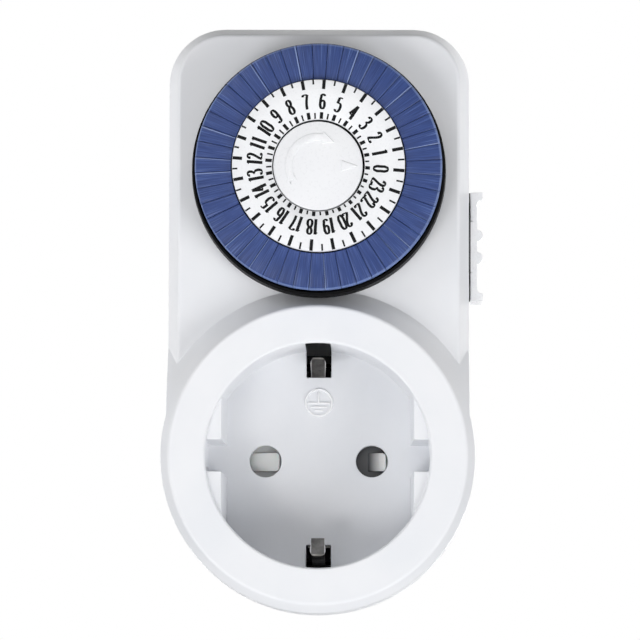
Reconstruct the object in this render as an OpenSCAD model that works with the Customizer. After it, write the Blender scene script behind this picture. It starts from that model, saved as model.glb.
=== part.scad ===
// Plug-in 24 hour timer switch: a mains plug, a socket outlet, and between them a switch
// that is worked by the tabs of a dial turning once a day.
// Millimetres. +X is right and +Z up as seen from the front, and +Y goes into the wall.
// The origin is midway between the plug pins, on the face that they stand on.
// Every piece is drawn lying on its back, X right, Y up and Z towards the front, and is
// stood up by upright(). A height h is therefore the distance in front of the pin face.

/* [Plug] */
// Distance between the two pins, and between the two pin holes of the socket
pin_pitch = 19; // [18:0.5:20]
// Diameter of a pin
pin_d = 4.8; // [4:0.1:5]
// Length of a pin in front of its face
pin_len = 19; // [16:0.5:21]
// Diameter of a pin where it passes through the plug's face
pin_shank_d = 4; // [3:0.1:4.4]
// Diameter of the plug's round body
boss_d = 37.2; // [36.4:0.2:38.4]
// Width of the plug's body across its two flats
boss_flats = 32.6; // [31.6:0.2:33.4]
// Width of the ridge that is left standing on each flat
boss_key_w = 4.6; // [3:0.1:5.4]
// Length of the plug's body
boss_len = 17; // [15:0.5:20]
// Thickness of the plug's face
boss_face_t = 3; // [2:0.5:5]
// Rounding of the plug's leading edge
boss_round = 1.2; // [0.5:0.1:2]

/* [Socket] */
// Diameter of the recess
recess_d = 39.6; // [38.6:0.2:41]
// Depth of the recess
recess_depth = 17.5; // [15:0.5:19]
// Distance across the flat ribs on the two sides of the recess
recess_flats = 33.9; // [33:0.1:35]
// Width of the gap between the two ribs of a side
notch_w = 5.6; // [5:0.1:8]
// How far the front of the ribs lies behind the ring
rib_set_back = 1; // [0.4:0.1:4]
// How much thicker a rib is at the floor than at its front
rib_draft = 0.6; // [0:0.1:0.8]
// Rounding of the mouth of the recess
mouth_round = 0.5; // [0.2:0.1:1]
// Diameter of a pin hole
pin_hole_d = 5.7; // [5.2:0.1:6]
// Thickness of the floor of the recess
floor_t = 1.8; // [1.4:0.1:2.2]
// Thickness of the wall of the recess
recess_wall = 1.6; // [1.2:0.1:2]
// Width of the slot for an earth clip
earth_slot_w = 4.4; // [3.6:0.1:6]
// Distance of the slot's inner end from the axis of the socket
earth_slot_in = 15; // [14.4:0.1:16]

/* [Housing] */
// Width of the housing
body_w = 53.5; // [52:0.5:60]
// Height of the top of the housing above the axis of the socket
body_top = 77; // [75:0.2:84]
// Diameter of the housing's round lower end
lower_d = 55.4; // [54:0.2:60]
// Radius of the two upper corners
corner_r = 10; // [8:0.5:13]
// Thickness of the walls
wall = 2; // [1.6:0.1:2.4]
// Depth of the housing from the wall side to the deck
case_depth = 24; // [23.5:0.1:26]
// How far the shoulder leans in at the deck
shoulder_w = 1.8; // [0.8:0.1:3]
// Depth of the shoulder, down to the line where the shells part
shoulder_depth = 6.2; // [5.2:0.1:7]
// Rounding between the deck and the shoulder
shoulder_round = 0.8; // [0.3:0.1:2]
// How far the rear shell narrows towards the wall side
back_draft = 0.7; // [0:0.1:1.2]
// Rounding of the edge at the wall side
back_round = 1.2; // [0.5:0.1:2]
// Height of the socket's ring in front of the deck
collar_rise = 6; // [5:0.2:6.4]
// Diameter of the ring at its front
collar_d = 52.6; // [51:0.2:54]
// Diameter of the foot of the ring's flank, at the deck
collar_foot_d = 59.6; // [57:0.2:61]
// Rounding of the ring's outer edge
collar_round = 0.8; // [0.3:0.1:1.5]

/* [Case screws] */
// Diameter of a screw
screw_d = 2.5; // [2:0.1:3]
// Length of a screw under its head
screw_len = 13; // [11:0.5:14]
// Diameter of a screw's head
screw_head_d = 4.4; // [4:0.1:5]
// Height of a screw's head
screw_head_h = 1.6; // [1.2:0.1:2.2]
// Depth of the wells that the screws stand in
screw_well = 7.2; // [5:0.1:9]
// Distance of the upper screws from the sides and the top of the housing
upper_screw_in = 7; // [6.5:0.1:8]
// Distance of the lower screws from the axis of the socket
lower_screw_r = 23.5; // [23.2:0.1:23.8]

/* [Dial] */
// Height of the dial's axis above the axis of the socket
dial_z = 50.5; // [50.4:0.1:52]
// Angle of the hour 0 mark from the pointer, counter-clockwise as seen from the front
dial_turn = -4.3; // [-7:0.1:7]
// Outer diameter of the ring of tabs
tab_ring_d = 43.5; // [42:0.1:43.6]
// Outer diameter of the carrier's skirt
skirt_d = 44.7; // [44.4:0.1:44.8]
// Outer diameter of the scale disc
scale_d = 30.4; // [28:0.1:31]
// Thickness of the scale disc
scale_t = 1.2; // [0.8:0.1:1.6]
// Diameter of the centre cap
cap_d = 16; // [14:0.1:18]
// Thickness of the centre cap
cap_t = 1.4; // [1:0.1:1.6]
// Height of the scale disc in front of the tabs
scale_stand = 1.2; // [0.4:0.1:2]
// How far a tab stands in front of the carrier's rim while it is out
tab_stand = 2.4; // [2:0.1:3]
// How far a tab can be pressed in
tab_travel = 2.2; // [1.8:0.1:2.4]
// Thickness of a tab's head
tab_head_t = 3.2; // [2.8:0.1:3.6]
// Gap between one tab and the next, as an angle
tab_gap = 0.3; // [0.2:0.05:0.6]
// Width of a tab's leg
leg_w = 1; // [0.8:0.05:1.1]
// Radial length of a tab's leg
leg_l = 4.7; // [4:0.1:4.9]
// Gap between the skirt's lower edge and the deck
skirt_gap = 3.2; // [3:0.1:3.6]
// Thickness of the carrier's floor
carrier_floor_t = 1; // [0.8:0.1:1.2]
// Outer diameter of the carrier's hub
hub_d = 10.8; // [9.6:0.1:12]

/* [Movement] */
// Outer diameter of the fixed post that the dial turns on
post_d = 7.1; // [6:0.1:8]
// Bore of the fixed post
post_bore = 3.6; // [3:0.1:4]
// Thickness of the movement frame
frame_t = 1.5; // [1.2:0.1:1.6]
// Room for the gears, between the frame and the deck
gear_room = 6.5; // [6.4:0.1:7.4]
// Module of the gear teeth
gear_module = 0.4; // [0.39:0.005:0.41]
// Teeth of the dial's gear
dial_teeth = 60; // [60:60:60]
// Teeth of the small pinions
pinion_teeth = 12; // [12:12:12]
// Teeth of the large idler wheel
big_wheel_teeth = 36; // [36:36:36]
// Teeth of the small idler wheel
small_wheel_teeth = 24; // [24:24:24]
// Teeth of the motor's pinion
motor_teeth = 15; // [15:15:15]
// Diameter of the gear axles
axle_d = 1.6; // [1.2:0.1:2]
// Diameter of the motor
motor_d = 25; // [22:0.5:26]
// Gap between the motor and the back wall
motor_gap = 1.2; // [0.6:0.1:2]
// Height of the motor's coil
coil_h = 5; // [4:0.1:8]
// Diameter of the motor's shaft
motor_shaft_d = 1.5; // [1.2:0.1:2]

/* [Switch] */
// Width of the switch lever
lever_w = 2.6; // [2:0.1:3]
// Distance of the lever's middle from the inside of the housing's side wall
lever_side = 5.2; // [4.8:0.1:5.4]
// Height of the lever's pin above the axis of the socket
lever_z = 39.5; // [39:0.1:40]
// Diameter of the lever's pin
lever_pin_d = 2; // [1.6:0.1:2.2]
// Width of the feeler's nose
nose_w = 0.9; // [0.7:0.05:1]
// How far the nose stands in front of the deck
nose_stand = 2.2; // [1.6:0.1:2.3]
// Thickness of the contact strips
strip_t = 0.6; // [0.5:0.1:0.8]
// Diameter of the contact rivets
rivet_d = 1.8; // [1.4:0.1:1.8]
// Gap between the contacts while the switch is open
contact_gap = 1.2; // [1:0.1:1.6]
// Width of the forked contacts
fork_w = 4; // [3:0.1:4.6]

/* [Override slider] */
// Height of the slider's lower end above the axis of the socket
slider_z = 28.4; // [28:0.1:29]
// Length of the slider
slider_len = 19.4; // [19:0.1:21]
// Width of the slider, front to back
slider_w = 7.6; // [6.6:0.1:7.8]
// Thickness of the slider's plate
slider_t = 1.3; // [1:0.1:2]
// How far the ridges and the end lips rise above the plate
slider_ridge = 1; // [0.5:0.1:1.5]
// Thickness of the slider's two end lips
lip_t = 1.3; // [0.8:0.1:1.8]
// Distance between the two ridges
ridge_pitch = 4; // [3:0.1:5]
// Travel of the slider
slider_travel = 3; // [2.6:0.1:3.2]

/* [Shutter] */
// Travel of the safety shutter
shutter_travel = 6.8; // [6.4:0.1:7]
// Height of the lugs that close the pin holes
lug_w = 3.3; // [2.8:0.1:4]
// Thickness of the shutter's plate
shutter_t = 1; // [0.8:0.1:1.2]

/* [Earth] */
// Width of the bridge between the two earth straps
earth_bridge_w = 4; // [3:0.1:5]
// Width of an earth clip at its free end
clip_w = 2.7; // [2.4:0.1:3.4]
// Width of an earth clip at its bow
clip_neck_w = 2.3; // [1.8:0.1:2.4]
// Width of an earth contact on the plug
side_contact_w = 4.4; // [3.6:0.1:5]
// Thickness of the earth metal
clip_t = 0.7; // [0.5:0.1:0.8]
// Distance of the clip's bow from the axis of the socket
clip_bow = 14.2; // [14:0.1:15]

/* [Clearances] */
// Radial gap of a piece that turns on a shaft
turn_gap = 0.06; // [0.03:0.01:0.09]
// Gap beside a piece that slides
slide_gap = 0.15; // [0.1:0.05:0.25]
// Gap between pieces that are only near each other
near_gap = 0.3; // [0.2:0.05:0.4]
// Gap around a piece that is pushed in and held
press_gap = 0.02; // [0.01:0.01:0.05]

/* [Hidden] */
$fn = 96;
cut = 1;
HOURS = [for (hour = [0:23]) hour];
function hour_name(hour) = str("tabs_hour_", hour < 10 ? "0" : "", hour);

// Heights in front of the pin face
wall_h = boss_len;
back_h = wall_h + wall;
deck_h = wall_h + case_depth;
under_deck_h = deck_h - wall;
part_h = deck_h - shoulder_depth;
ring_h = deck_h + collar_rise;
floor_h = ring_h - recess_depth;
floor_back_h = floor_h - floor_t;
face_back_h = boss_face_t;
skirt_h = deck_h + skirt_gap;
carrier_floor_h = skirt_h + carrier_floor_t;
frame_front_h = under_deck_h - gear_room;
frame_h = frame_front_h - frame_t;
motor_back_h = back_h + motor_gap;
well_h = wall_h + screw_well;
screw_tip_h = well_h + screw_len;

// The housing
half_w = body_w / 2;
lower_r = lower_d / 2;
corner_x = half_w - corner_r;
corner_z = body_top - corner_r;
upper_screw_x = half_w - upper_screw_in;
upper_screw_z = body_top - upper_screw_in;
recess_r = recess_d / 2;
tube_r = recess_r + recess_wall;
collar_r = collar_d / 2;
collar_lean = (collar_foot_d - collar_d) / 2 / collar_rise;
function flank_r(h) = collar_r + collar_lean * (ring_h - h);
flank_wall = wall * norm([1, collar_lean]);
pin_x = pin_pitch / 2;

// The dial, outwards from its axis and forwards from the deck
tab_pitch = 7.5;
hour_pitch = 2 * tab_pitch;
tab_out_r = tab_ring_d / 2;
scale_r = scale_d / 2;
tab_in_r = scale_r + 0.2;
skirt_r = skirt_d / 2;
cap_r = cap_d / 2;
rim_h = carrier_floor_h + tab_travel + tab_head_t - tab_stand + slide_gap;
tab_top_h = rim_h + tab_stand;
scale_top_h = tab_top_h + scale_stand;
scale_back_h = scale_top_h - scale_t;
cap_back_h = scale_top_h - cap_t;
leg_tip_h = skirt_h - 0.1;
leg_r = (tab_in_r + tab_out_r) / 2;
lever_x = half_w - wall - lever_side;
nose_angle = dial_turn + tab_pitch * ceil(-dial_turn / tab_pitch);

// The gear train: each pair of meshing wheels stands at the sum of their pitch radii
function pitch_r(teeth) = gear_module * teeth / 2;
function polar(r, angle) = r * [cos(angle), sin(angle)];
// The turn of a gear, at which it meshes with a neighbour that stands in the given direction
function meshed(turn, teeth, direction, next_teeth) =
    direction + 180 - (turn - direction) * teeth / next_teeth + 180 / next_teeth;
dial_axis = [0, dial_z];
large_way = 225;
small_way = 270;
motor_way = 0;
large_at = dial_axis + polar(pitch_r(dial_teeth) + pitch_r(pinion_teeth), large_way);
small_at = large_at + polar(pitch_r(big_wheel_teeth) + pitch_r(pinion_teeth), small_way);
motor_out = small_at + polar(pitch_r(small_wheel_teeth) + pitch_r(motor_teeth), motor_way);
large_turn = meshed(0, dial_teeth, large_way, pinion_teeth);
small_turn = meshed(large_turn, big_wheel_teeth, small_way, pinion_teeth);
motor_turn = meshed(small_turn, small_wheel_teeth, motor_way, motor_teeth);
motor_at = [-1, motor_out[1] + 7.3];
gear_rear_h = frame_front_h + 4.1;
tooth_h = gear_module;

// The switch
lever_h = under_deck_h - 2.8;
lever_in = lever_x - lever_w / 2;
lever_out = lever_x + lever_w / 2;
nose_z = dial_z + lever_x * tan(nose_angle);
nose_h = deck_h + nose_stand;
contact_reach = 6.5;
contact_z = lever_z + contact_reach;
contact_in_x = lever_x - 3.1;
contact_out_x = lever_x + 1.9;
lever_front_h = under_deck_h - 2 * near_gap;
lever_hub_d = lever_pin_d + 2.2;
lever_tail_z = lever_z - 9;
arm_back_h = lever_front_h - 2;
bridge_t = 0.5;
moving_rivet_h = arm_back_h - bridge_t - 0.6;
fixed_rivet_h = moving_rivet_h - contact_gap;
strip_h = frame_front_h + strip_t / 2;
strip_turn_z = contact_z - 2.5;
strip_top_z = contact_z + 2;
load_in = lever_x - 6.2;
load_out = load_in + 4;
live_in = lever_x + 0.8;
live_out = live_in + 2.1;
load_riser_h = back_h + 3.3;
live_riser_h = back_h + 5;
boss_hollow_r = boss_d / 2 - wall;
foot_w = pin_shank_d + 2;
live_step_z = sqrt(pow(boss_hollow_r, 2) - pow(pin_x + foot_w / 2, 2)) - strip_t - 0.3;

// The override slider
slider_mid_z = slider_z + slider_len / 2;
ridge_mid_z = slider_mid_z + 0.5;
slider_h = part_h - slider_w / 2 - 0.5;
neck_len = 9;
neck_h0 = slider_h - slider_w / 2 + 1;
neck_h1 = part_h - near_gap;
keeper_in = half_w - wall - 1.7;
keeper_out = half_w - wall - 0.6;
finger_t = 1.4;
finger_z = lever_tail_z + 0.5;

// Earth: a strap lies in a groove of the plug's body, and beside the pin holes in the socket
groove_run_z = boss_d / 2 - 0.75;
socket_run_z = recess_r - 1.95;
groove_z = groove_run_z - clip_t / 2 - 0.5;
groove_h = 2.4;
clip_tip_h = ring_h - 5.1;
clip_tip_z = socket_run_z - 0.4;
clip_bow_h = ring_h - 8.1;

// Stands a piece up: what was drawn towards +Z faces the front
module upright() rotate([90, 0, 0]) children();

// A flat shape between two heights
module slab(low, high) translate([0, 0, low]) linear_extrude(high - low) children();

// A round rod between two heights
module rod(d, low, high) translate([0, 0, low]) cylinder(d = d, h = high - low);

// A side view, given in [-height, up], made solid between two distances from the middle
module sideways(left, right)
    translate([left, 0, 0]) rotate([0, 90, 0]) linear_extrude(right - left) children();

// A shape given in [across, height], made solid between two distances up from the middle
module upwards(low, high) rotate([90, 0, 0]) translate([0, 0, -high]) linear_extrude(high - low) children();

// A box between two corners
module block(low, high) translate(low) cube(high - low);

// The same shape on the right and on the left
module left_and_right() {
    children();
    mirror([1, 0, 0]) children();
}

// The same shape above and below the axis of the socket
module above_and_below() {
    children();
    mirror([0, 1, 0]) children();
}

function unit(v) = v / norm(v);

// An arc that rounds the corner between two lines
function fillet(from, corner, to, r, steps = 5) =
    let (u = unit(from - corner), v = unit(to - corner), half = acos(u * v) / 2,
         centre = corner + unit(u + v) * r / sin(half),
         a = corner + u * r / tan(half) - centre, b = corner + v * r / tan(half) - centre,
         start = atan2(a[1], a[0]), sweep = atan2(a[0] * b[1] - a[1] * b[0], a * b))
    [for (i = [0:steps]) centre + polar(r, start + sweep * i / steps)];

// ---------------------------------------------------------------- housing

// The housing's outline, drawn in by an inset
module case_outline(inset = 0) {
    circle(r = lower_r - inset);
    translate([inset - half_w, 0]) square([2 * (half_w - inset), corner_z]);
    translate([-corner_x, 0]) square([2 * corner_x, body_top - inset]);
    for (side = [-1, 1]) translate([side * corner_x, corner_z]) circle(r = corner_r - inset);
}

// A body with the housing's outline, whose edge follows a list of [inset, height]
module case_form(edge) {
    last = len(edge) - 1;
    upwards(0, corner_z)
        polygon(concat([for (p = edge) [half_w - p[0], p[1]]],
                       [for (i = [last:-1:0]) [edge[i][0] - half_w, edge[i][1]]]));
    sideways(-corner_x, corner_x)
        polygon(concat([for (p = edge) [-p[1], body_top - p[0]]],
                       [[-edge[last][1], corner_z], [-edge[0][1], corner_z]]));
    for (side = [-1, 1]) translate([side * corner_x, corner_z]) turned(edge, corner_r);
    turned(edge, lower_r);
}

// A round body whose edge follows a list of [inset, height]
module turned(edge, r) rotate_extrude()
    polygon(concat([[0, edge[0][1]]], [for (p = edge) [r - p[0], p[1]]], [[0, edge[len(edge) - 1][1]]]));

// The two ribs on each side of the recess, which leave a notch between them
module recess_ribs() intersection() {
    root_h = floor_h - floor_t / 2;
    flat_x = recess_flats / 2;
    rod(recess_d + recess_wall, root_h, ring_h - rib_set_back);
    left_and_right() above_and_below() upwards(notch_w / 2, recess_r + cut)
        polygon([[flat_x - rib_draft, root_h], [recess_r + cut, root_h],
                 [recess_r + cut, ring_h], [flat_x, ring_h]]);
}

// The collar: a ring whose flank widens down to the deck, kept within the housing's outline
module collar() intersection() {
    rotate_extrude() polygon(concat(
        [[0, part_h], [flank_r(part_h), part_h]],
        fillet([collar_foot_d / 2, deck_h], [collar_r, ring_h], [0, ring_h], collar_round), [[0, ring_h]]));
    slab(part_h, ring_h) case_outline();
}

// The hollow behind the collar
module collar_hollow() intersection() {
    rotate_extrude() polygon([
        [0, under_deck_h - cut], [flank_r(under_deck_h - cut) - flank_wall, under_deck_h - cut],
        [flank_r(ring_h - wall) - flank_wall, ring_h - wall], [0, ring_h - wall]]);
    slab(under_deck_h - cut, ring_h) case_outline(wall);
}

// The space that the plug goes into
module recess_hollow() rotate_extrude() polygon(concat(
    [[0, floor_h], [recess_r, floor_h]],
    fillet([recess_r, floor_h], [recess_r, ring_h], [recess_r + collar_d, ring_h], mouth_round),
    [[recess_r + mouth_round, ring_h + cut], [0, ring_h + cut]]));

// Places its children at the four case screws
module at_screws(upper = true, lower = true) {
    if (upper) left_and_right() translate([upper_screw_x, upper_screw_z, 0]) children();
    if (lower) left_and_right() translate(polar(lower_screw_r, -45)) children();
}

front_edge = concat(
    fillet([shoulder_w + 5, deck_h], [shoulder_w, deck_h], [0, part_h], shoulder_round), [[0, part_h]]);
front_hollow_edge = [[shoulder_w + wall, under_deck_h], [wall, part_h - cut]];
upper_post_d = screw_d + 4.6;
spigot_d = screw_d + 2.6;
lower_post_d = screw_d + 2.4;
rear_post_d = screw_head_d + 2.4;
peg_d = 2.8;
frame_side = half_w - 4.5;
frame_low_z = tube_r + 1.2;
peg_at = [frame_side - peg_d / 2 - 0.8, frame_low_z + peg_d];

module front_shell() color("white") upright() difference() {
    union() {
        difference() {
            union() {
                case_form(front_edge);
                collar();
            }
            case_form(front_hollow_edge);
            collar_hollow();
        }
        rod(2 * tube_r, floor_back_h, ring_h - cut);
        shutter_rails();
        at_screws(lower = false) {
            rod(upper_post_d, frame_front_h, under_deck_h + cut / 2);
            rod(spigot_d, frame_h, frame_front_h + cut);
        }
        at_screws(upper = false) rod(lower_post_d, part_h, ring_h - wall - cut / 2);
        left_and_right() translate([peg_at[0], peg_at[1], 0]) {
            rod(peg_d + 1.6, frame_front_h, under_deck_h + cut / 2);
            rod(peg_d, frame_h - 0.4, frame_front_h + cut);
        }
    }
    difference() {
        recess_hollow();
        recess_ribs();
    }
    for (side = [-1, 1]) translate([side * pin_x, 0, 0]) rod(pin_hole_d, floor_back_h - cut, floor_h + cut);
    above_and_below() block([-earth_slot_w / 2, earth_slot_in, floor_back_h - cut],
                            [earth_slot_w / 2, tube_r + cut, ring_h - mouth_round - 0.5]);
    at_screws(lower = false) rod(screw_d + 2 * press_gap, frame_h - cut, screw_tip_h + 0.5);
    at_screws(upper = false) rod(screw_d + 2 * press_gap, part_h - cut, screw_tip_h + 0.5);
    translate(dial_axis)
        rod(2 * (pitch_r(dial_teeth) + tooth_h + near_gap), under_deck_h - cut, deck_h + cut);
    block([lever_in - near_gap, nose_z - nose_w / 2 - near_gap, under_deck_h - cut],
          [lever_out + near_gap, nose_z + nose_w / 2 + 1.4, deck_h + cut]);
}

module rear_shell() color("whitesmoke") upright() difference() {
    union() {
        difference() {
            case_form(concat([[0, part_h]],
                fillet([0, part_h], [back_draft, wall_h], [back_draft + 5, wall_h], back_round)));
            case_form([[wall, part_h + cut], [wall + back_draft, back_h]]);
        }
        intersection() {
            rotate_extrude() polygon(concat(
                [[0, wall_h + cut / 2], [boss_d / 2, wall_h + cut / 2]],
                fillet([boss_d / 2, wall_h], [boss_d / 2, 0], [0, 0], boss_round), [[0, 0]]));
            slab(0, wall_h + cut) {
                square([boss_flats, boss_d + cut], center = true);
                square([boss_d + cut, boss_key_w], center = true);
            }
        }
        at_screws(lower = false) rod(rear_post_d, back_h - cut / 2, frame_h);
        difference() {
            at_screws(upper = false) rod(rear_post_d, back_h - cut / 2, part_h);
            rod(2 * (tube_r + slide_gap), floor_back_h - near_gap, part_h + cut);
        }
    }
    intersection() {
        rod(boss_d - 2 * wall, face_back_h, back_h + cut);
        slab(face_back_h, back_h + cut) square([boss_flats - 2 * wall, 2 * (groove_z - 1.4)], center = true);
    }
    above_and_below() block([-side_contact_w / 2 - near_gap, groove_z, groove_h],
                            [side_contact_w / 2 + near_gap, boss_d / 2 + cut, back_h + cut]);
    for (side = [-1, 1]) translate([side * pin_x, 0, 0])
        rod(pin_shank_d + 2 * press_gap, -cut, face_back_h + cut);
    at_screws() {
        rod(screw_head_d + 0.4, wall_h - cut, well_h);
        rod(screw_d + 0.3, well_h - cut, part_h + cut);
    }
    block([half_w - 2 * wall, slider_mid_z - neck_len / 2 - slide_gap, neck_h0 - slide_gap],
          [half_w + cut, slider_mid_z + neck_len / 2 + slider_travel + slide_gap, part_h + cut]);
}

module case_screws() color("silver") upright() at_screws() difference() {
    union() {
        rod(screw_d, well_h, screw_tip_h);
        rod(screw_head_d, well_h - screw_head_h, well_h);
    }
    for (angle = [0, 90]) rotate(angle)
        translate([0, 0, well_h - screw_head_h]) cube([screw_head_d * 0.6, 0.6, screw_head_h], center = true);
}

// ---------------------------------------------------------------- mains parts

// A bent strip of metal seen from its edge: straight runs with rounded bends
module bent(path, t) {
    for (i = [0:len(path) - 1]) translate(path[i]) circle(d = t);
    for (i = [0:len(path) - 2]) {
        run = path[i + 1] - path[i];
        translate(path[i]) rotate(atan2(run[1], run[0])) translate([0, -t / 2]) square([norm(run), t]);
    }
}

// One point of a side view
function side(h, up) = [-h, up];

rivet_h = 0.8;
rivet_head_d = pin_shank_d + 1.2;
pin_nose = pin_d * 0.45;

module plug_pin() rotate_extrude() polygon(concat(
    [[0, -pin_len]], [for (a = [90:-15:0]) [pin_d / 2 * cos(a), pin_nose - pin_len - pin_nose * sin(a)]],
    [[pin_d / 2, 0], [pin_shank_d / 2, 0], [pin_shank_d / 2, face_back_h + strip_t],
     [rivet_head_d / 2, face_back_h + strip_t], [rivet_head_d / 2, face_back_h + strip_t + rivet_h],
     [0, face_back_h + strip_t + rivet_h]]));

module plug_pin_left() color("silver") upright() translate([-pin_x, 0, 0]) plug_pin();
module plug_pin_right() color("silver") upright() translate([pin_x, 0, 0]) plug_pin();

// A fork that grips an inserted pin between two leaves, from its base to its mouth
fork_mouth_h = floor_back_h - 3.4;
fork_grip_h = fork_mouth_h - 4.3;
fork_base_h = 11.3;

module fork_side(base) bent([
    side(fork_mouth_h, pin_d / 2 + 1.2), side(fork_grip_h, pin_d / 2 + strip_t / 2 + 0.05),
    side(base, pin_d / 2 + strip_t), side(base, -pin_d / 2 - strip_t),
    side(fork_grip_h, -pin_d / 2 - strip_t / 2 - 0.05), side(fork_mouth_h, -pin_d / 2 - 1.2)], strip_t);

module neutral_contact() color("gold") upright() difference() {
    union() {
        sideways(-pin_x - fork_w / 2, -pin_x + fork_w / 2) fork_side(face_back_h + strip_t / 2);
        block([-pin_x - foot_w / 2, -pin_d / 2 - 0.3, face_back_h],
              [-pin_x + foot_w / 2, pin_d / 2 + 0.3, face_back_h + strip_t]);
    }
    translate([-pin_x, 0, 0]) rod(pin_shank_d + 2 * press_gap, 0, face_back_h + 2 * strip_t);
}

module live_strip() color("gold") upright() difference() {
    union() {
        sideways(pin_x - foot_w / 2, pin_x + foot_w / 2) bent([
            side(face_back_h + strip_t / 2, -pin_d / 2 - 0.2), side(face_back_h + strip_t / 2, live_step_z),
            side(live_riser_h, live_step_z), side(live_riser_h, live_step_z + 5)], strip_t);
        block([pin_x - foot_w / 2, live_step_z + 1, live_riser_h - strip_t / 2],
              [live_out, live_step_z + 5, live_riser_h + strip_t / 2]);
        sideways(live_in, live_out) bent([
            side(live_riser_h, live_step_z + 2), side(live_riser_h, strip_turn_z),
            side(strip_h, strip_turn_z), side(strip_h, strip_top_z)], strip_t);
        translate([contact_out_x, contact_z, 0]) rod(rivet_d, strip_h, fixed_rivet_h);
    }
    translate([pin_x, 0, 0]) rod(pin_shank_d + 2 * press_gap, 0, face_back_h + 2 * strip_t);
}

module load_strip() color("gold") upright() {
    sideways(pin_x - fork_w / 2, pin_x + fork_w / 2) fork_side(fork_base_h);
    block([pin_x - fork_w / 2 + 1, pin_d / 2 + strip_t / 2, load_riser_h - strip_t / 2],
          [load_out, 7.5, load_riser_h + strip_t / 2]);
    sideways(load_in, load_out) bent([
        side(load_riser_h, pin_d / 2 + 1), side(load_riser_h, strip_turn_z),
        side(strip_h, strip_turn_z), side(strip_h, strip_top_z)], strip_t);
    translate([contact_in_x, contact_z, 0]) rod(rivet_d, strip_h, fixed_rivet_h);
}

// ---------------------------------------------------------------- earth

// The clip's free leaf, from its bow to its round end
module clip_leaf() intersection() {
    sideways(-clip_w / 2, clip_w / 2)
        bent([side(clip_tip_h, clip_tip_z), side(clip_bow_h, clip_bow + clip_t / 2)], clip_t);
    slab(clip_bow_h - clip_t, ring_h) {
        round_z = clip_tip_z + clip_t / 2 - clip_w / 2;
        translate([0, round_z]) circle(d = clip_w);
        polygon([[-clip_neck_w / 2, clip_bow - clip_t], [clip_neck_w / 2, clip_bow - clip_t],
                 [clip_w / 2, round_z], [-clip_w / 2, round_z]]);
    }
}

// From the clip in the recess back to the plug's side contact
module earth_strap() {
    clip_leaf();
    sideways(-clip_neck_w / 2, clip_neck_w / 2) bent([
        side(clip_bow_h, clip_bow + clip_t / 2), side(floor_h + 1.6, socket_run_z - 0.6),
        side(floor_back_h - 1.2, socket_run_z), side(back_h + 5, socket_run_z),
        side(back_h + 2, groove_run_z)], clip_t);
    sideways(-side_contact_w / 2, side_contact_w / 2) bent([
        side(back_h + 2, groove_run_z), side(groove_h + near_gap + clip_t / 2, groove_run_z)], clip_t);
}

module earth_strap_top() color("silver") upright() earth_strap();
module earth_strap_bottom() color("silver") upright() mirror([0, 1, 0]) earth_strap();
module earth_bridge() color("silver") upright()
    slab(back_h + 1.4, back_h + 2) square([earth_bridge_w, 2 * groove_run_z - clip_t], center = true);

// ---------------------------------------------------------------- safety shutter

shutter_front_h = floor_back_h - 0.2;
shutter_plate_h = floor_back_h - 1.3;
shutter_half = pin_hole_d / 2 + 1.3;
lug_left = [-pin_x - pin_hole_d / 2 - 0.25, -pin_x + 2.5];
lug_right = [pin_x - 0.7, pin_x + 2.5];

// Two rails on the back of the recess's floor, which guide the shutter
module shutter_rails() for (way = [-1, 1])
    translate([0, way * (shutter_half + slide_gap + 0.5), 0])
        slab(shutter_plate_h - shutter_t, floor_back_h + floor_t / 2)
            square([2 * (pin_x + shutter_half), 1], center = true);

// A lug with a ramp on its left, which an entering pin pushes aside
module shutter_lug(span, ramp) intersection() {
    upwards(-lug_w / 2, lug_w / 2) polygon([
        [span[0], shutter_plate_h - shutter_t / 2], [span[1], shutter_plate_h - shutter_t / 2],
        [span[1], shutter_front_h], [span[0] + ramp, shutter_front_h], [span[0], shutter_plate_h]]);
    slab(shutter_plate_h - shutter_t, shutter_front_h + cut) {
        translate([span[0], -lug_w / 2]) square([span[1] - span[0] - lug_round, lug_w]);
        translate([span[0], lug_round - lug_w / 2]) square([span[1] - span[0], lug_w - 2 * lug_round]);
        for (way = [-1, 1]) translate([span[1] - lug_round, way * (lug_w / 2 - lug_round)])
            circle(r = lug_round);
    }
}

module safety_shutter() color("gainsboro") upright() difference() {
    union() {
        block([lug_left[0], -shutter_half, shutter_plate_h - shutter_t],
              [shutter_right, shutter_half, shutter_plate_h]);
        shutter_lug(lug_left, 5);
        shutter_lug(lug_right, 2);
    }
    window_x = pin_x - shutter_travel;
    window_half = pin_hole_d / 2 + 0.1;
    block([window_x - window_half, -window_half - 0.2, shutter_plate_h - shutter_t - cut],
          [window_x + window_half, window_half + 0.2, shutter_plate_h + cut]);
}

// A coil of wire around X, one polyhedron swept along a helix
module coil_spring(length, r, wire, turns) {
    sides = 8;
    steps = 12 * turns;
    function at(i) = [length * i / steps, r * cos(30 * i), r * sin(30 * i)];
    function ring(i) = let (across = [0, cos(30 * i), sin(30 * i)])
        [for (k = [0:sides - 1]) let (a = 360 * k / sides)
            at(i) + wire / 2 * (cos(a) * across + sin(a) * [1, 0, 0])];
    points = [for (i = [0:steps]) each ring(i)];
    polyhedron(points, concat(
        [[for (k = [0:sides - 1]) k]],
        [for (i = [0:steps - 1], k = [0:sides - 1])
            [i * sides + k, (i + 1) * sides + k,
             (i + 1) * sides + (k + 1) % sides, i * sides + (k + 1) % sides]],
        [[for (k = [sides - 1:-1:0]) steps * sides + k]]));
}

shutter_right = pin_x + pin_hole_d / 2 + 1.1;
lug_round = 0.7;
spring_h = shutter_plate_h - shutter_t / 2;
spring_wire = 0.35;
module shutter_spring() color("silver") upright()
    translate([shutter_right + near_gap + spring_wire / 2, 0, spring_h])
        coil_spring(lower_r - wall - shutter_right - 2.8, 1.3, spring_wire, 6);

// ---------------------------------------------------------------- dial

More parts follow.
